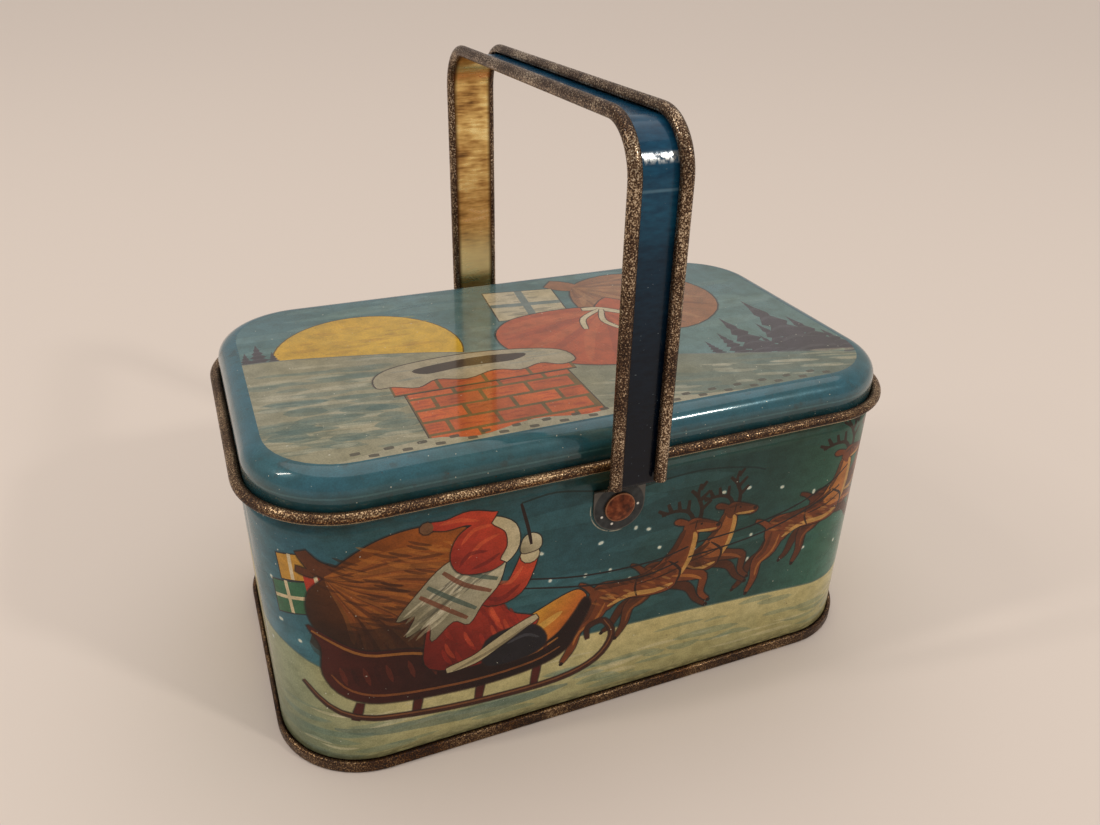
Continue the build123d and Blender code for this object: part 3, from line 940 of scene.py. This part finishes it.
# %% Bricks, sacks and footprints
def bricks(x0, y0, x1, y1, row=3.7, length=7.4):
    """Rows of bricks with mortar between, each row shifted by half a brick."""
    face = rectangle(x0, y0, x1, y1)
    shapes = [(grown(face, 0.3), INK, 0.8), (face, (122, 100, 58), 1.0)]
    y, shift = y0 + 0.3, 0.0
    while y < y1 - 0.5:
        x = x0 - shift
        while x < x1:
            a, b = max(x + 0.3, x0 + 0.2), min(x + length - 0.35, x1 - 0.2)
            if b - a > 0.8:
                top = min(y + row - 0.65, y1 - 0.2)
                warm = random.uniform(-14, 14)
                brick = [(a, y), (b, y + random.uniform(-0.1, 0.1)), (b, top), (a, top)]
                shapes.append((brick, (206 + warm, 102 + warm * 0.6, 50), 1.0))
                for _ in range(3):
                    u, v = random.uniform(a, b - 0.6), random.uniform(y + 0.4, top - 0.4)
                    chip = [(u - 1.2, v), (u, v + 0.15), (u + 1.3, v)]
                    shapes += marks([chip], 0.5, 0.1, (168 + warm, 72, 42), 0.5, 2)
            x += length
        y, shift = y + row, length / 2 - shift
    return shapes


def lid_sack(outline, neck, tuft, colours, folds=22):
    """A tied sack whose folds run from its neck to its edge."""
    base, light, dark = colours
    cx = sum(p[0] for p in outline) / len(outline)
    cy = sum(p[1] for p in outline) / len(outline)
    shapes = figure([(stroke([neck, tuft], 4.6, 0.8, 3), base, 1.0), form(outline, base)], 0.3)
    rim = curve_through(outline, True, 8)
    for i in range(folds):
        foot = rim[int(i * len(rim) / folds)]
        if math.dist(foot, neck) < 5:
            continue
        end = (foot[0] + (cx - foot[0]) * 0.08, foot[1] + (cy - foot[1]) * 0.08)
        bow = ((neck[0] + end[0]) / 2 + random.uniform(-1.2, 1.2),
               (neck[1] + end[1]) / 2 + random.uniform(-1.2, 1.2))
        colour = (light, dark, base)[i % 3]
        shapes += marks([[neck, bow, end]], random.uniform(1.0, 2.6), 0.1, colour, 0.42)
    return shapes


def footprints(x0, x1, y):
    """Prints left and right of a level line, a pace apart."""
    steps, i = [], 0
    while x0 + 2.3 * i < x1:
        x, side = x0 + 2.3 * i, 0.55 * (-1) ** i
        steps.append([(x - 0.75, y + side), (x + 0.65, y + side * 1.15)])
        i += 1
    return marks(steps, 0.85, 0.75, (84, 82, 74), 0.85, 3)


# %% The lid's evening sky and snow
PICTURE_EDGE = 11.2            # the picture's border, out from the corner axes
PINE_DARK, FAR_DUSTING, NEAR_DUSTING = (66, 62, 76), (96, 100, 112), (92, 94, 106)


def lid_sky():
    """Evening sky with a large low moon."""
    shapes = [(lid_ring(PICTURE_EDGE, 10), evening, 1.0)]
    shapes += flecks(30, (-46, -5, 46, 27), 13.0, 3.0, (150, 178, 180), 0.22)
    shapes += flecks(20, (-46, -5, 46, 27), 11.0, 2.4, (84, 124, 140), 0.22)
    shapes += [(disc(-29.2, 5.4, 15.6, 56), (110, 92, 50), 1.0),
               (disc(-29.2, 5.4, 15.35, 56), (226, 184, 54), 1.0)]
    shapes += flecks(26, (-40, 3, -19, 18), 3.4, 1.2, (190, 146, 44), 0.35)
    return shapes + flecks(14, (-40, 3, -19, 18), 3.0, 1.0, (218, 184, 78), 0.35)


def lid_snow():
    """Pines behind a snowy slope."""
    slope = [(-52, 7.4), (-44, 7.0), (-34, 5.2), (-22, 2.4), (-12, -1.0), (0, -5.2), (12, -10.5),
             (24, -14.6), (36, -18.4), (44, -21.0), (53, -25.0)]
    shapes = []
    for x, height in ((-48.4, 5.4), (-46.4, 8.2), (-44.2, 4.6)):
        shapes += pine(x, 6.4, height, PINE_DARK, FAR_DUSTING)
    for x, y, height in ((29.4, -16.4, 9.0), (33.4, -17.6, 16.0), (38.4, -19.0, 13.0),
                         (45.6, -20.0, 15.0), (42.0, -20.6, 25.0), (36.0, -18.8, 8.0),
                         (48.0, -22.0, 10.0), (25.6, -15.2, 5.4)):
        shapes += pine(x, y, height, PINE_DARK, NEAR_DUSTING)
    ground = curve_through(slope) + [(53, -32), (-53, -32)]
    shapes.append((ground, shaded((-10, -8), (40, -20), (158, 158, 138), (108, 124, 116)), 1.0))
    shapes += marks([slope], 0.35, 1.0, (120, 132, 134), 0.8)
    shapes += flecks(60, (-48, -26, -28, 3), 6.0, 1.5, (104, 128, 126), 0.4, -0.12)
    shapes += flecks(40, (-48, -26, -28, 3), 5.0, 1.0, (192, 190, 172), 0.5, -0.12)
    shapes += flecks(50, (2, -27, 47, -18), 6.0, 1.4, (104, 128, 126), 0.4, -0.25)
    shapes += flecks(34, (2, -27, 47, -18), 5.0, 1.0, (192, 190, 172), 0.5, -0.25)
    return shapes + flecks(16, (-46, -23, -30, -8), 6.0, 2.4, (72, 104, 106), 0.4, -0.15)


# %% The sacks and the chimney
CORD, RIBBON = (216, 206, 180), (120, 138, 140)


def sacks_and_parcel():
    """A brown sack, a parcel with ribbons, and a red sack tied with a cord."""
    brown = [(15, 1), (11.5, 12), (15, 22.5), (25, 25.8), (34.5, 21), (38.6, 11.5), (35.5, 2.2),
             (26, -3.2)]
    shapes = lid_sack(brown, (14.5, 21.5), (10.5, 25.0), ((158, 108, 74), (196, 150, 108), (104, 66, 48)))
    parcel = [(-4.6, 10.5), (8.6, 9.4), (10.2, 22.4), (-3.2, 24.2)]
    shapes += figure([(parcel, (204, 196, 172), 1.0)], 0.3)
    shapes += flecks(26, (-3, 11, 8.5, 22.5), 3.0, 0.7, (150, 148, 134), 0.6, -0.1)
    ribbons = [[(2.0, 10.0), (3.6, 23.3)], [(-3.9, 17.4), (9.4, 15.8)]]
    shapes += marks(ribbons, 1.5, 1.0, RIBBON, 1.0, 2)
    red = [(-7.2, 5.0), (-7.0, -2.0), (-2.0, -8.4), (7.0, -12.8), (16.4, -12.0), (22.6, -5.4),
           (21.6, 5.0), (14.6, 10.6), (6.0, 11.8), (-2.6, 10.2)]
    shapes += lid_sack(red, (15.2, 8.6), (19.6, 13.4), ((190, 92, 54), (210, 120, 78), (152, 66, 42)))
    shapes += figure(marks([[(11.6, 10.6), (14.8, 9.8), (18.2, 6.8)]], 1.5, 0.8, CORD), 0.2)
    for end in ([(14.6, 9.6), (10.0, 6.4), (8.6, 2.0)], [(15.0, 9.4), (13.2, 4.6), (14.4, 0.6)]):
        shapes += figure(marks([end], 1.0, 0.7, CORD), 0.18)
    return shapes


def chimney():
    """Bricks in two widths, capped with snow round a dark flue."""
    shapes = bricks(-27.6, -28.4, -1.0, -9.6) + bricks(-29.2, -11.6, 0.6, -7.4)
    cap = [(-31.0, -8.0), (-30.4, -4.2), (-26.0, -1.6), (-16.0, -0.6), (-6.0, -1.8), (0.6, -4.4),
           (1.8, -8.4), (-1.0, -9.6), (-4.2, -8.0), (-8.0, -9.2), (-12.0, -7.8), (-17.0, -9.4),
           (-21.6, -8.0), (-25.0, -9.8), (-28.4, -8.4)]
    shapes += figure([form(cap, (182, 176, 158))], 0.25)
    shapes += flecks(16, (-28, -7.4, -2, -2.4), 4.0, 0.8, (150, 158, 154), 0.5)
    flue = [(-24.0, -3.6), (-14.0, -2.4), (-5.4, -3.6), (-8.0, -5.6), (-16.0, -5.2), (-22.6, -5.8)]
    return shapes + [form(flue, (66, 54, 46))]


# %% Put the lid's picture together
def blue_border():
    """Everything outside the picture: a ring with a cut from its rim to its hole."""
    rim, hole = lid_ring(LID_REACH + 1), lid_ring(PICTURE_EDGE, 10)
    keyhole = rim + [rim[0]] + [hole[0]] + hole[:0:-1] + [hole[0]]
    line = lid_ring(LID_FLAT + SHOULDER * math.pi / 2 + 0.3, 10)
    pale_line = marks([line + [line[0]]], 0.3, 1.0, (104, 150, 164), 0.4, 1)
    return [(keyhole, lid_base, 1.0)] + pale_line


def lid_picture():
    """The roof scene, a drift along the front with footprints, and the border over it all."""
    shapes = lid_sky() + lid_snow() + sacks_and_parcel() + chimney()
    drift = [(-50, -30), (-40, -27.4), (-28, -25.4), (-21, -27.0), (-12, -25.2), (-4, -26.6),
             (4, -25.6), (20, -27.6), (40, -30)]
    shapes.append((curve_through(drift) + [(40, -32), (-50, -32)], (178, 176, 158), 1.0))
    return shapes + footprints(-38, 38, -26.6) + blue_border()


LID_DOTS = [(-48 + 3 * i, -27 + 3 * j) for i in range(33) for j in range(19)]
lid_print = print_layer("lid_print", lid_ring(LID_REACH), lid_base, lid_picture(), lid_guides(),
                        LID_DOTS, lid_place)

# %% [markdown]
# ## Finishes
# Every finish reads Object coordinates, turned into millimetres, so that grain and wear stay put
# when a part moves. The helpers below add one node each and hand back its output, so a finish
# reads as a short chain of calls.

# %% Node helpers
def add(tree, kind, values=None, **settings):
    """Add a node; a value is either a number for a socket or another node's output."""
    made = tree.nodes.new(kind)
    for key, value in settings.items():
        setattr(made, key, value)
    for key, value in (values or {}).items():
        if isinstance(value, bpy.types.NodeSocket):
            tree.links.new(value, made.inputs[key])
        else:
            made.inputs[key].default_value = value
    return made


def millimetres(tree):
    spot = add(tree, "ShaderNodeTexCoord").outputs["Object"]
    scaled = {"Vector": spot, "Scale": (1 / MM, 1 / MM, 1 / MM)}
    return add(tree, "ShaderNodeMapping", scaled).outputs["Vector"]


def calc(tree, operation, a, b=0.0):
    return add(tree, "ShaderNodeMath", {0: a, 1: b}, operation=operation).outputs[0]


def along(tree, operation, a, b=(0.0, 0.0, 0.0)):
    return add(tree, "ShaderNodeVectorMath", {0: a, 1: b}, operation=operation).outputs["Vector"]


def length_of(tree, a):
    return add(tree, "ShaderNodeVectorMath", {0: a}, operation="LENGTH").outputs["Value"]


def axis(tree, where, which):
    return add(tree, "ShaderNodeSeparateXYZ", {0: where}).outputs[which]


def noise(tree, where, grain, detail=2.0, stretch=None):
    """Noise whose lumps are about grain millimetres across."""
    if stretch:
        where = add(tree, "ShaderNodeMapping", {"Vector": where, "Scale": stretch}).outputs[0]
    values = {"Vector": where, "Scale": 1 / grain, "Detail": detail}
    return add(tree, "ShaderNodeTexNoise", values).outputs[0]


def between(tree, value, low, high):
    """0 up to low, 1 from high on, and smooth between them; low may be the larger."""
    values = {"Value": value, "From Min": low, "From Max": high}
    return add(tree, "ShaderNodeMapRange", values, interpolation_type="SMOOTHSTEP").outputs[0]


# %% Colour helpers
WHITE = (255, 255, 255)


def paint(colour):
    return (*linear(colour), 1)


def ramp(tree, value, *stops):
    made = add(tree, "ShaderNodeValToRGB", {0: value})
    points = made.color_ramp.elements
    points.remove(points[1])
    points[0].position, points[0].color = stops[0][0], paint(stops[0][1])
    for place, colour in stops[1:]:
        points.new(place).color = paint(colour)
    return made.outputs["Color"]


def mix(tree, factor, a, b, kind="MIX"):
    values = {0: factor, 6: paint(a) if isinstance(a, tuple) else a,
              7: paint(b) if isinstance(b, tuple) else b}
    return add(tree, "ShaderNodeMix", values, data_type="RGBA", blend_type=kind).outputs[2]


def tinted(tree, colour, pattern, *stops):
    """Multiply a colour by a ramp that follows a pattern."""
    return mix(tree, 1.0, colour, ramp(tree, pattern, *stops), "MULTIPLY")


def mix_value(tree, factor, a, b):
    return add(tree, "ShaderNodeMix", {0: factor, 2: a, 3: b}).outputs[0]


def all_of(tree, *masks):
    found = masks[0]
    for mask in masks[1:]:
        found = calc(tree, "MULTIPLY", found, mask)
    return found


def bump(tree, shader, height, depth, strength=1.0):
    """Let a height pattern, depth millimetres deep, tilt the surface."""
    values = {"Height": height, "Distance": depth * MM, "Strength": strength}
    tree.links.new(add(tree, "ShaderNodeBump", values).outputs[0], shader.inputs["Normal"])


# %% Starting a finish
PIVOT = (-0.7, 0, 39.9)        # where the rivets' axis crosses the tin's middle plane


def finish(name, roughness=0.4, metallic=0.0, coat=0.0, coat_roughness=0.05):
    """A new material, with its node tree, shader, and place in millimetres."""
    material = bpy.data.materials.new(name)
    material.use_nodes = True
    shader = principled(material)
    shader.inputs["Roughness"].default_value = roughness
    shader.inputs["Metallic"].default_value = metallic
    shader.inputs["Coat Weight"].default_value = coat
    shader.inputs["Coat Roughness"].default_value = coat_roughness
    return material, material.node_tree, shader, millimetres(material.node_tree)


def out_from_axes(tree, where):
    """Distance out from the upright axes of the rounded corners."""
    above_all = 1000.0          # more than any height, so that height doesn't count
    out = along(tree, "SUBTRACT", along(tree, "ABSOLUTE", where), (*WALL_AXIS, above_all))
    return length_of(tree, along(tree, "MAXIMUM", out))


def from_pivot(tree, where):
    """The place seen from the rivets' axis, with no depth along it."""
    return along(tree, "MULTIPLY", along(tree, "SUBTRACT", where, PIVOT), (1, 0, 1))


# %% [markdown]
# ### The printed finish
# The colour comes from the picture's own attribute. Real litho ink is laid down in fine dots, has
# yellowed under its varnish, and is scuffed, so a fine grain, broad yellow blotches, pale specks
# where the varnish is chipped, and dirt beside the folded edges are laid over it, with painted shade
# under the wall's rim. The varnish is a clear coat, and the shallow dents of thin sheet make its
# reflections waver.

# %% Aged ink
def aged_ink(tree, where, age):
    """The picture under printing dots, a faint wash and broad yellowing."""
    ink = add(tree, "ShaderNodeAttribute", attribute_name="ink").outputs["Color"]
    dots = noise(tree, where, 0.22, 1.0)
    ink = tinted(tree, ink, dots, (0.3, (226, 226, 226)), (0.7, WHITE))
    wash = noise(tree, where, 2.6, 4.0, (1.0, 1.0, 1.6))
    ink = tinted(tree, ink, wash, (0.3, (222, 224, 220)), (0.6, WHITE))
    return tinted(tree, ink, age, (0.35, (255, 253, 246)), (0.7, (244, 236, 214)))


def chipped(tree, where, age, ink):
    """Brown and pale specks where the varnish is gone."""
    chip = between(tree, noise(tree, where, 0.5, 1.5), 0.755, 0.79)
    ink = mix(tree, all_of(tree, chip, between(tree, age, 0.4, 0.6)), ink, (64, 44, 30))
    elsewhere = along(tree, "ADD", where, (31, 17, 9))
    speck = between(tree, noise(tree, elsewhere, 0.55, 1.0), 0.765, 0.80)
    return mix(tree, calc(tree, "MULTIPLY", speck, 0.7), ink, (214, 214, 196))


def scraped(tree, where, ink):
    """Part of a ring beside each tab, where the swinging handle has scraped the ink."""
    swing = from_pivot(tree, where)
    tab_edge = 4.62
    ring = calc(tree, "ABSOLUTE", calc(tree, "SUBTRACT", length_of(tree, swing), tab_edge))
    lower_left = calc(tree, "ADD", axis(tree, swing, "X"), axis(tree, swing, "Z"))
    scrape = all_of(tree, between(tree, ring, 0.12, 0.03), 0.7,
                    between(tree, noise(tree, where, 0.9, 2.0), 0.36, 0.5),
                    between(tree, lower_left, -3.4, -4.6))
    return mix(tree, scrape, ink, (188, 180, 158))


# %% Dirt beside the folds, and painted shade under the wall's rim
def wall_dirt_and_shade(tree, where):
    """Dirt and painted shade under the rim, and a darker band above the bottom seam."""
    height = axis(tree, where, "Z")
    broken = noise(tree, where, 0.7, 5.0, (0.4, 0.4, 1.6))
    top = calc(tree, "MULTIPLY", between(tree, height, 43.6, 46.6), 0.45)
    foot = calc(tree, "MULTIPLY", between(tree, height, 4.2, 2.2), 0.6)
    return all_of(tree, calc(tree, "MAXIMUM", top, foot), between(tree, broken, 0.3, 0.56))


def lid_dirt(tree, where, out):
    """Dirt down the skirt, and blotches along the shoulder's edge."""
    height = axis(tree, where, "Z")
    broken = noise(tree, where, 0.7, 5.0, (0.4, 0.4, 1.6))
    skirt = all_of(tree, between(tree, height, 49.2, 47.7), between(tree, broken, 0.36, 0.6))
    blotch = between(tree, noise(tree, where, 2.2, 5.0), 0.58, 0.72)
    shoulder = all_of(tree, between(tree, out, 10.6, 11.6), blotch, 0.45)
    return calc(tree, "MAXIMUM", skirt, shoulder)


# %% Printed finishes
def varnish(tree, shader, ink, edge, age, dents):
    """Connect the ink; dull the varnish where it is rubbed, and where dirt and painted shade lie; add the
    dents.
    """
    tree.links.new(ink, shader.inputs["Base Color"])
    rub = mix_value(tree, between(tree, age, 0.4, 0.7), 0.22, 0.42)
    dull = calc(tree, "ADD", rub, calc(tree, "MULTIPLY", edge, 0.25))
    tree.links.new(dull, shader.inputs["Roughness"])
    bump(tree, shader, dents, 0.16)


def sheet_dents(tree, where):
    """Broad shallow dents with a trace of fine unevenness."""
    fine = calc(tree, "MULTIPLY", noise(tree, where, 0.8), 0.012)
    return calc(tree, "ADD", noise(tree, where, 17.0, 1.0), fine)


def wall_finish():
    material, tree, shader, where = finish("wall_print", 0.3, 0.04, coat=0.22, coat_roughness=0.07)
    shader.inputs["Specular IOR Level"].default_value = 0.12
    age = noise(tree, where, 14.0, 3.0)
    edge = wall_dirt_and_shade(tree, where)
    # dirt and painted shade under the rim, and a darker band above the bottom seam, darken the ink
    ink = mix(tree, edge, aged_ink(tree, where, age), (58, 52, 34))
    ink = scraped(tree, where, chipped(tree, where, age, ink))
    varnish(tree, shader, ink, edge, age, sheet_dents(tree, where))
    return material


def lid_finish():
    material, tree, shader, where = finish("lid_print_finish", 0.3, 0.15, coat=0.8, coat_roughness=0.07)
    shader.inputs["Specular IOR Level"].default_value = 0.2
    age = noise(tree, where, 14.0, 3.0)
    out = out_from_axes(tree, where)
    edge = lid_dirt(tree, where, out)
    ink = mix(tree, edge, aged_ink(tree, where, age), (46, 50, 44))
    ink = chipped(tree, where, age, ink)
    pitted = calc(tree, "MULTIPLY", noise(tree, where, 0.4, 3.0), between(tree, out, 10.8, 12.4))
    dents = calc(tree, "ADD", sheet_dents(tree, where), calc(tree, "MULTIPLY", pitted, 0.05))
    varnish(tree, shader, ink, edge, age, dents)
    return material


wall_ink, lid_ink = wall_finish(), lid_finish()
for piece, body, slot, print_finish in ((wall_front, "body", "printed_wall", wall_ink),
                                        (wall_back, "body", "printed_wall", wall_ink),
                                        (lid_print, "lid", "printed_lid", lid_ink)):
    piece.data.materials.append(print_finish)
    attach(piece, body)
    print(piece.name, "rides on", body)

# %% [markdown]
# ### Bare tinplate
# Where the sheet is folded or curled, ink and varnish have worn off, and the tin underneath is
# speckled: bright crystals between brown tarnish and rust. One noise, cut into steps of colour,
# gives the speckle; the same noise makes the bright grains smooth metal and the rust dull.

# %% Bare tinplate
TIN_GRAIN = 0.2                # size of the crystals, in millimetres


def speckled(tree, where):
    """Colour, metalness and roughness of worn tinplate, and the pattern they follow."""
    speck = noise(tree, where, TIN_GRAIN, 3.0)
    patch = calc(tree, "MULTIPLY", calc(tree, "SUBTRACT", noise(tree, where, 5.0, 3.0), 0.5), 0.34)
    speck = calc(tree, "ADD", speck, patch)
    colour = ramp(tree, speck, (0.36, (38, 26, 20)), (0.48, (78, 56, 40)), (0.55, (108, 84, 62)),
                  (0.61, (172, 150, 122)), (0.70, (226, 210, 184)))
    bright = between(tree, speck, 0.46, 0.62)
    return colour, mix_value(tree, bright, 0.55, 0.95), mix_value(tree, bright, 0.55, 0.3), speck


def gilded(tree, where, stretch):
    """Colour and roughness of gold-lacquered tinplate, with rolling streaks and stains."""
    streak = noise(tree, where, 0.5, 4.0, stretch)
    stain = noise(tree, where, 7.0, 4.0)
    tone = calc(tree, "ADD", calc(tree, "MULTIPLY", streak, 0.45), calc(tree, "MULTIPLY", stain, 0.74))
    colour = ramp(tree, tone, (0.40, (122, 86, 48)), (0.52, (196, 152, 86)), (0.62, (230, 194, 120)),
                  (0.74, (250, 228, 160)))
    return colour, mix_value(tree, between(tree, tone, 0.45, 0.7), 0.5, 0.26)


def dress(node_name, material):
    """Give a CAD node one finish."""
    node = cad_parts[node_name]
    for slot in node.material_slots:
        slot.material = material
    if not node.material_slots:
        node.data.materials.append(material)
    print(node_name, "has", material.name)


# %% Tin with gold lacquer inside
def tin_with_gilt(name, is_gilt, dark, bright_edge=None):
    """Speckled tin outside and gold lacquer inside; the functions give masks from the place."""
    material, tree, shader, where = finish(name)
    colour, metal, rough, speck = speckled(tree, where)
    gold, gold_rough = gilded(tree, where, (1.0, 1.0, 0.12))
    inner = is_gilt(tree, where)
    # the dark function's colours: stains and wear, and on the wall's curl painted shade
    colour = mix(tree, 1.0, colour, dark(tree, where), "MULTIPLY")
    # a painted highlight along an edge, where a mask for one is given
    if bright_edge:
        colour = mix(tree, bright_edge(tree, where), colour, (226, 200, 158))
    tree.links.new(mix(tree, inner, colour, gold), shader.inputs["Base Color"])
    tree.links.new(mix_value(tree, inner, metal, 0.9), shader.inputs["Metallic"])
    tree.links.new(mix_value(tree, inner, rough, gold_rough), shader.inputs["Roughness"])
    bump(tree, shader, speck, 0.03)
    return material


# %% The wall's metal
def wall_gilt(tree, where):
    """Inside the wall, below the curl."""
    return all_of(tree, between(tree, out_from_axes(tree, where), 14.42, 14.34),
                  between(tree, axis(tree, where, "Z"), 47.0, 46.6))


def wall_tarnish_and_shade(tree, where):
    """The curl is painted darkest underneath, beside its cut edge, as shade."""
    height = axis(tree, where, "Z")
    return ramp(tree, between(tree, height, 46.9, 48.9), (0.05, (150, 122, 100)), (0.25, (232, 214, 190)),
                (0.42, (120, 92, 70)), (0.55, (196, 166, 134)), (0.8, (255, 246, 230)))


def cut_edge_highlight(tree, where):
    """A painted highlight along the sheet's cut edge under the curl."""
    return all_of(tree, between(tree, out_from_axes(tree, where), 14.86, 14.9),
                  between(tree, axis(tree, where, "Z"), 47.56, 47.44), 0.8)


dress("body_wall", tin_with_gilt("wall_tinplate", wall_gilt, wall_tarnish_and_shade, cut_edge_highlight))


# %% The metal of the bottom and the lid
def base_gilt(tree, where):
    """The middle of the bottom, seen from above."""
    return all_of(tree, between(tree, out_from_axes(tree, where), 14.0, 13.8),
                  between(tree, axis(tree, where, "Z"), 2.1, 2.2))


def base_tarnish(tree, where):
    """Brown stains over the underside, lighter on the worn standing edge."""
    stain = ramp(tree, noise(tree, where, 9.0, 5.0), (0.35, (150, 118, 90)), (0.65, (235, 222, 200)))
    low = between(tree, axis(tree, where, "Z"), 0.35, 0.0)
    return mix(tree, calc(tree, "MULTIPLY", low, 0.6), stain, (255, 244, 224))


dress("bottom_panel", tin_with_gilt("bottom_tinplate", base_gilt, base_tarnish))


def lid_gilt(tree, where):
    """Everything that the print leaves bare."""
    return between(tree, out_from_axes(tree, where), 14.40, 14.30)


dress("lid", tin_with_gilt("lid_tinplate", lid_gilt, base_tarnish))

# %% [markdown]
# ### The handle
# One strip of tin: blue lacquer along its outer face, gold lacquer inside, bare speckled curls
# along both edges, and slate-coloured ends where it is riveted. Which is which follows from the
# place alone: how far from the strip's middle, and how far outside its bent centre line.

# %% Places on the handle
BEND_CENTRE, BEND_RADIUS = (0, 29.35, 89.49), 6.48      # the strip's rounded upper corners
CRANK = {"From Min": 43.2, "From Max": 46.2,            # heights where the ends step inward,
         "To Min": 31.45, "To Max": 35.83}              # and how far out the strip is there


def handle_places(tree, where):
    """Distance across from the strip's middle, height, and how far outside its centre line."""
    centred = along(tree, "ABSOLUTE", along(tree, "SUBTRACT", where, (PIVOT[0], 0, 0)))
    across, height = axis(tree, centred, "X"), axis(tree, where, "Z")
    level = along(tree, "MULTIPLY", centred, (0, 1, 1))
    bend = along(tree, "MAXIMUM", along(tree, "SUBTRACT", level, BEND_CENTRE))
    above = calc(tree, "SUBTRACT", length_of(tree, bend), BEND_RADIUS)
    middle = add(tree, "ShaderNodeMapRange", {"Value": height, **CRANK}).outputs[0]
    below = calc(tree, "SUBTRACT", axis(tree, centred, "Y"), middle)
    return across, height, mix_value(tree, between(tree, height, 46.3, 46.2), above, below)


def near_height(tree, height, level, far, near):
    """1 at a level, fading to 0 at some distance above and below it."""
    away = calc(tree, "ABSOLUTE", calc(tree, "SUBTRACT", height, level))
    return between(tree, away, far, near)


# %% Lacquer and slate
def blue_lacquer(tree, where, height):
    """Blue with painted light and shade, darker towards the ends; a crease, a painted highlight band and
    scuffs.
    """
    # painted light and shade: lighter round the bend, darkest down the legs near their ends
    tone = ramp(tree, between(tree, height, 44, 98), (0.0, (8, 14, 26)), (0.4, (12, 30, 46)),
                (0.74, (18, 54, 76)), (0.86, (26, 84, 112)), (1.0, (26, 78, 108)))
    wash = noise(tree, where, 1.6, 4.0, (1.0, 1.0, 3.0))
    tone = tinted(tree, tone, wash, (0.3, (190, 196, 204)), (0.68, WHITE))
    crease = near_height(tree, height, 88.4, 0.3, 0.05)
    tone = mix(tree, calc(tree, "MULTIPLY", crease, 0.35), tone, (120, 160, 180))
    # a painted highlight band across the bend, broken up by noise
    painted_glint = all_of(tree, near_height(tree, height, 92.2, 0.8, 0.2),
                    between(tree, noise(tree, where, 0.5, 3.0, (1.0, 1.0, 0.5)), 0.38, 0.58))
    tone = mix(tree, painted_glint, tone, (214, 220, 220))
    scuff = between(tree, noise(tree, where, 0.34, 2.0, (0.5, 1.0, 1.4)), 0.73, 0.78)
    return mix(tree, calc(tree, "MULTIPLY", scuff, 0.5), tone, (150, 168, 176)), painted_glint


def slate_tab(tree, where):
    """Grey ends with a paler rim and three painted highlights round the rivet."""
    slate = ramp(tree, noise(tree, where, 1.1, 4.0), (0.3, (33, 35, 37)), (0.7, (57, 60, 61)))
    pivot = from_pivot(tree, where)
    # three painted highlights, small bright dots round the rivet
    for turn in (-4, 206, 250):
        dot = (3.15 * math.cos(math.radians(turn)), 0, 3.15 * math.sin(math.radians(turn)))
        pip_highlight = between(tree, length_of(tree, along(tree, "SUBTRACT", pivot, dot)), 0.28, 0.12)
        slate = mix(tree, pip_highlight, slate, (226, 222, 214))
    rimmed = between(tree, length_of(tree, pivot), 4.0, 4.25)
    return mix(tree, calc(tree, "MULTIPLY", rimmed, 0.5), slate, (110, 104, 96))


# %% Handle
def handle_finish():
    material, tree, shader, where = finish("handle_tinplate", coat=0.2, coat_roughness=0.08)
    shader.inputs["Specular IOR Level"].default_value = 0.12
    across, height, outside = handle_places(tree, where)
    # the curled edges stand wide of the strip's flat middle, or above its outer face
    curl = calc(tree, "MAXIMUM", between(tree, across, 3.42, 3.56), between(tree, outside, 0.22, 0.34))
    curl = all_of(tree, curl, between(tree, across, 2.3, 2.4))
    outer = between(tree, outside, -0.03, 0.03)
    tab = between(tree, height, 45.6, 44.9)
    bare = all_of(tree, curl, calc(tree, "SUBTRACT", 1.0, tab))

    colour, metal, rough, speck = speckled(tree, where)
    tone, painted_glint = blue_lacquer(tree, where, height)
    face = mix(tree, tab, tone, slate_tab(tree, where))
    gold, gold_rough = gilded(tree, where, (0.16, 1.0, 1.0))
    # the inner face has a painted highlight just above the lid, and painted shade beside the curls
    painted_highlight = all_of(tree, between(tree, height, 52.4, 55.2), between(tree, height, 64.5, 57.0))
    gold = mix(tree, calc(tree, "MULTIPLY", painted_highlight, 0.8), gold, (255, 228, 164))
    # painted shade where the face rounds into the curls
    gold = mix(tree, between(tree, across, 2.6, 3.5), gold, (84, 56, 30))
    face = mix(tree, outer, gold, face)
    tree.links.new(mix(tree, bare, face, colour), shader.inputs["Base Color"])

    # less metal where the highlight is painted, so that its pale colour shows
    inner_metal = mix_value(tree, painted_highlight, 0.92, 0.25)
    # the painted highlight band is partly metal
    face_metal = mix_value(tree, outer, inner_metal, calc(tree, "MULTIPLY", painted_glint, 0.6))
    tree.links.new(mix_value(tree, bare, face_metal, metal), shader.inputs["Metallic"])
    face_rough = mix_value(tree, outer, gold_rough, mix_value(tree, tab, 0.2, 0.45))
    tree.links.new(mix_value(tree, bare, face_rough, rough), shader.inputs["Roughness"])
    ripple = calc(tree, "ADD", calc(tree, "MULTIPLY", noise(tree, where, 6.0, 1.0), 0.6),
                  calc(tree, "MULTIPLY", speck, mix_value(tree, bare, 0.02, 0.5)))
    bump(tree, shader, ripple, 0.06)
    return material


dress("handle", handle_finish())

# %% [markdown]
# ### The rivets
# Copper-plated heads, browned by age, with a brighter rubbed edge.

# %% Rivets
def rivet_finish():
    material, tree, shader, where = finish("rivet_copper", 0.4, 0.75)
    patch = noise(tree, where, 1.0, 4.0)
    colour = ramp(tree, patch, (0.34, (68, 33, 20)), (0.5, (110, 56, 34)), (0.66, (148, 86, 56)))
    worn = between(tree, length_of(tree, from_pivot(tree, where)), 2.2, 2.4)
    colour = mix(tree, calc(tree, "MULTIPLY", worn, 0.5), colour, (176, 132, 98))
    tree.links.new(colour, shader.inputs["Base Color"])
    tree.links.new(mix_value(tree, patch, 0.3, 0.6), shader.inputs["Roughness"])
    bump(tree, shader, patch, 0.05)
    return material


copper = rivet_finish()
dress("front_rivet", copper)
dress("back_rivet", copper)
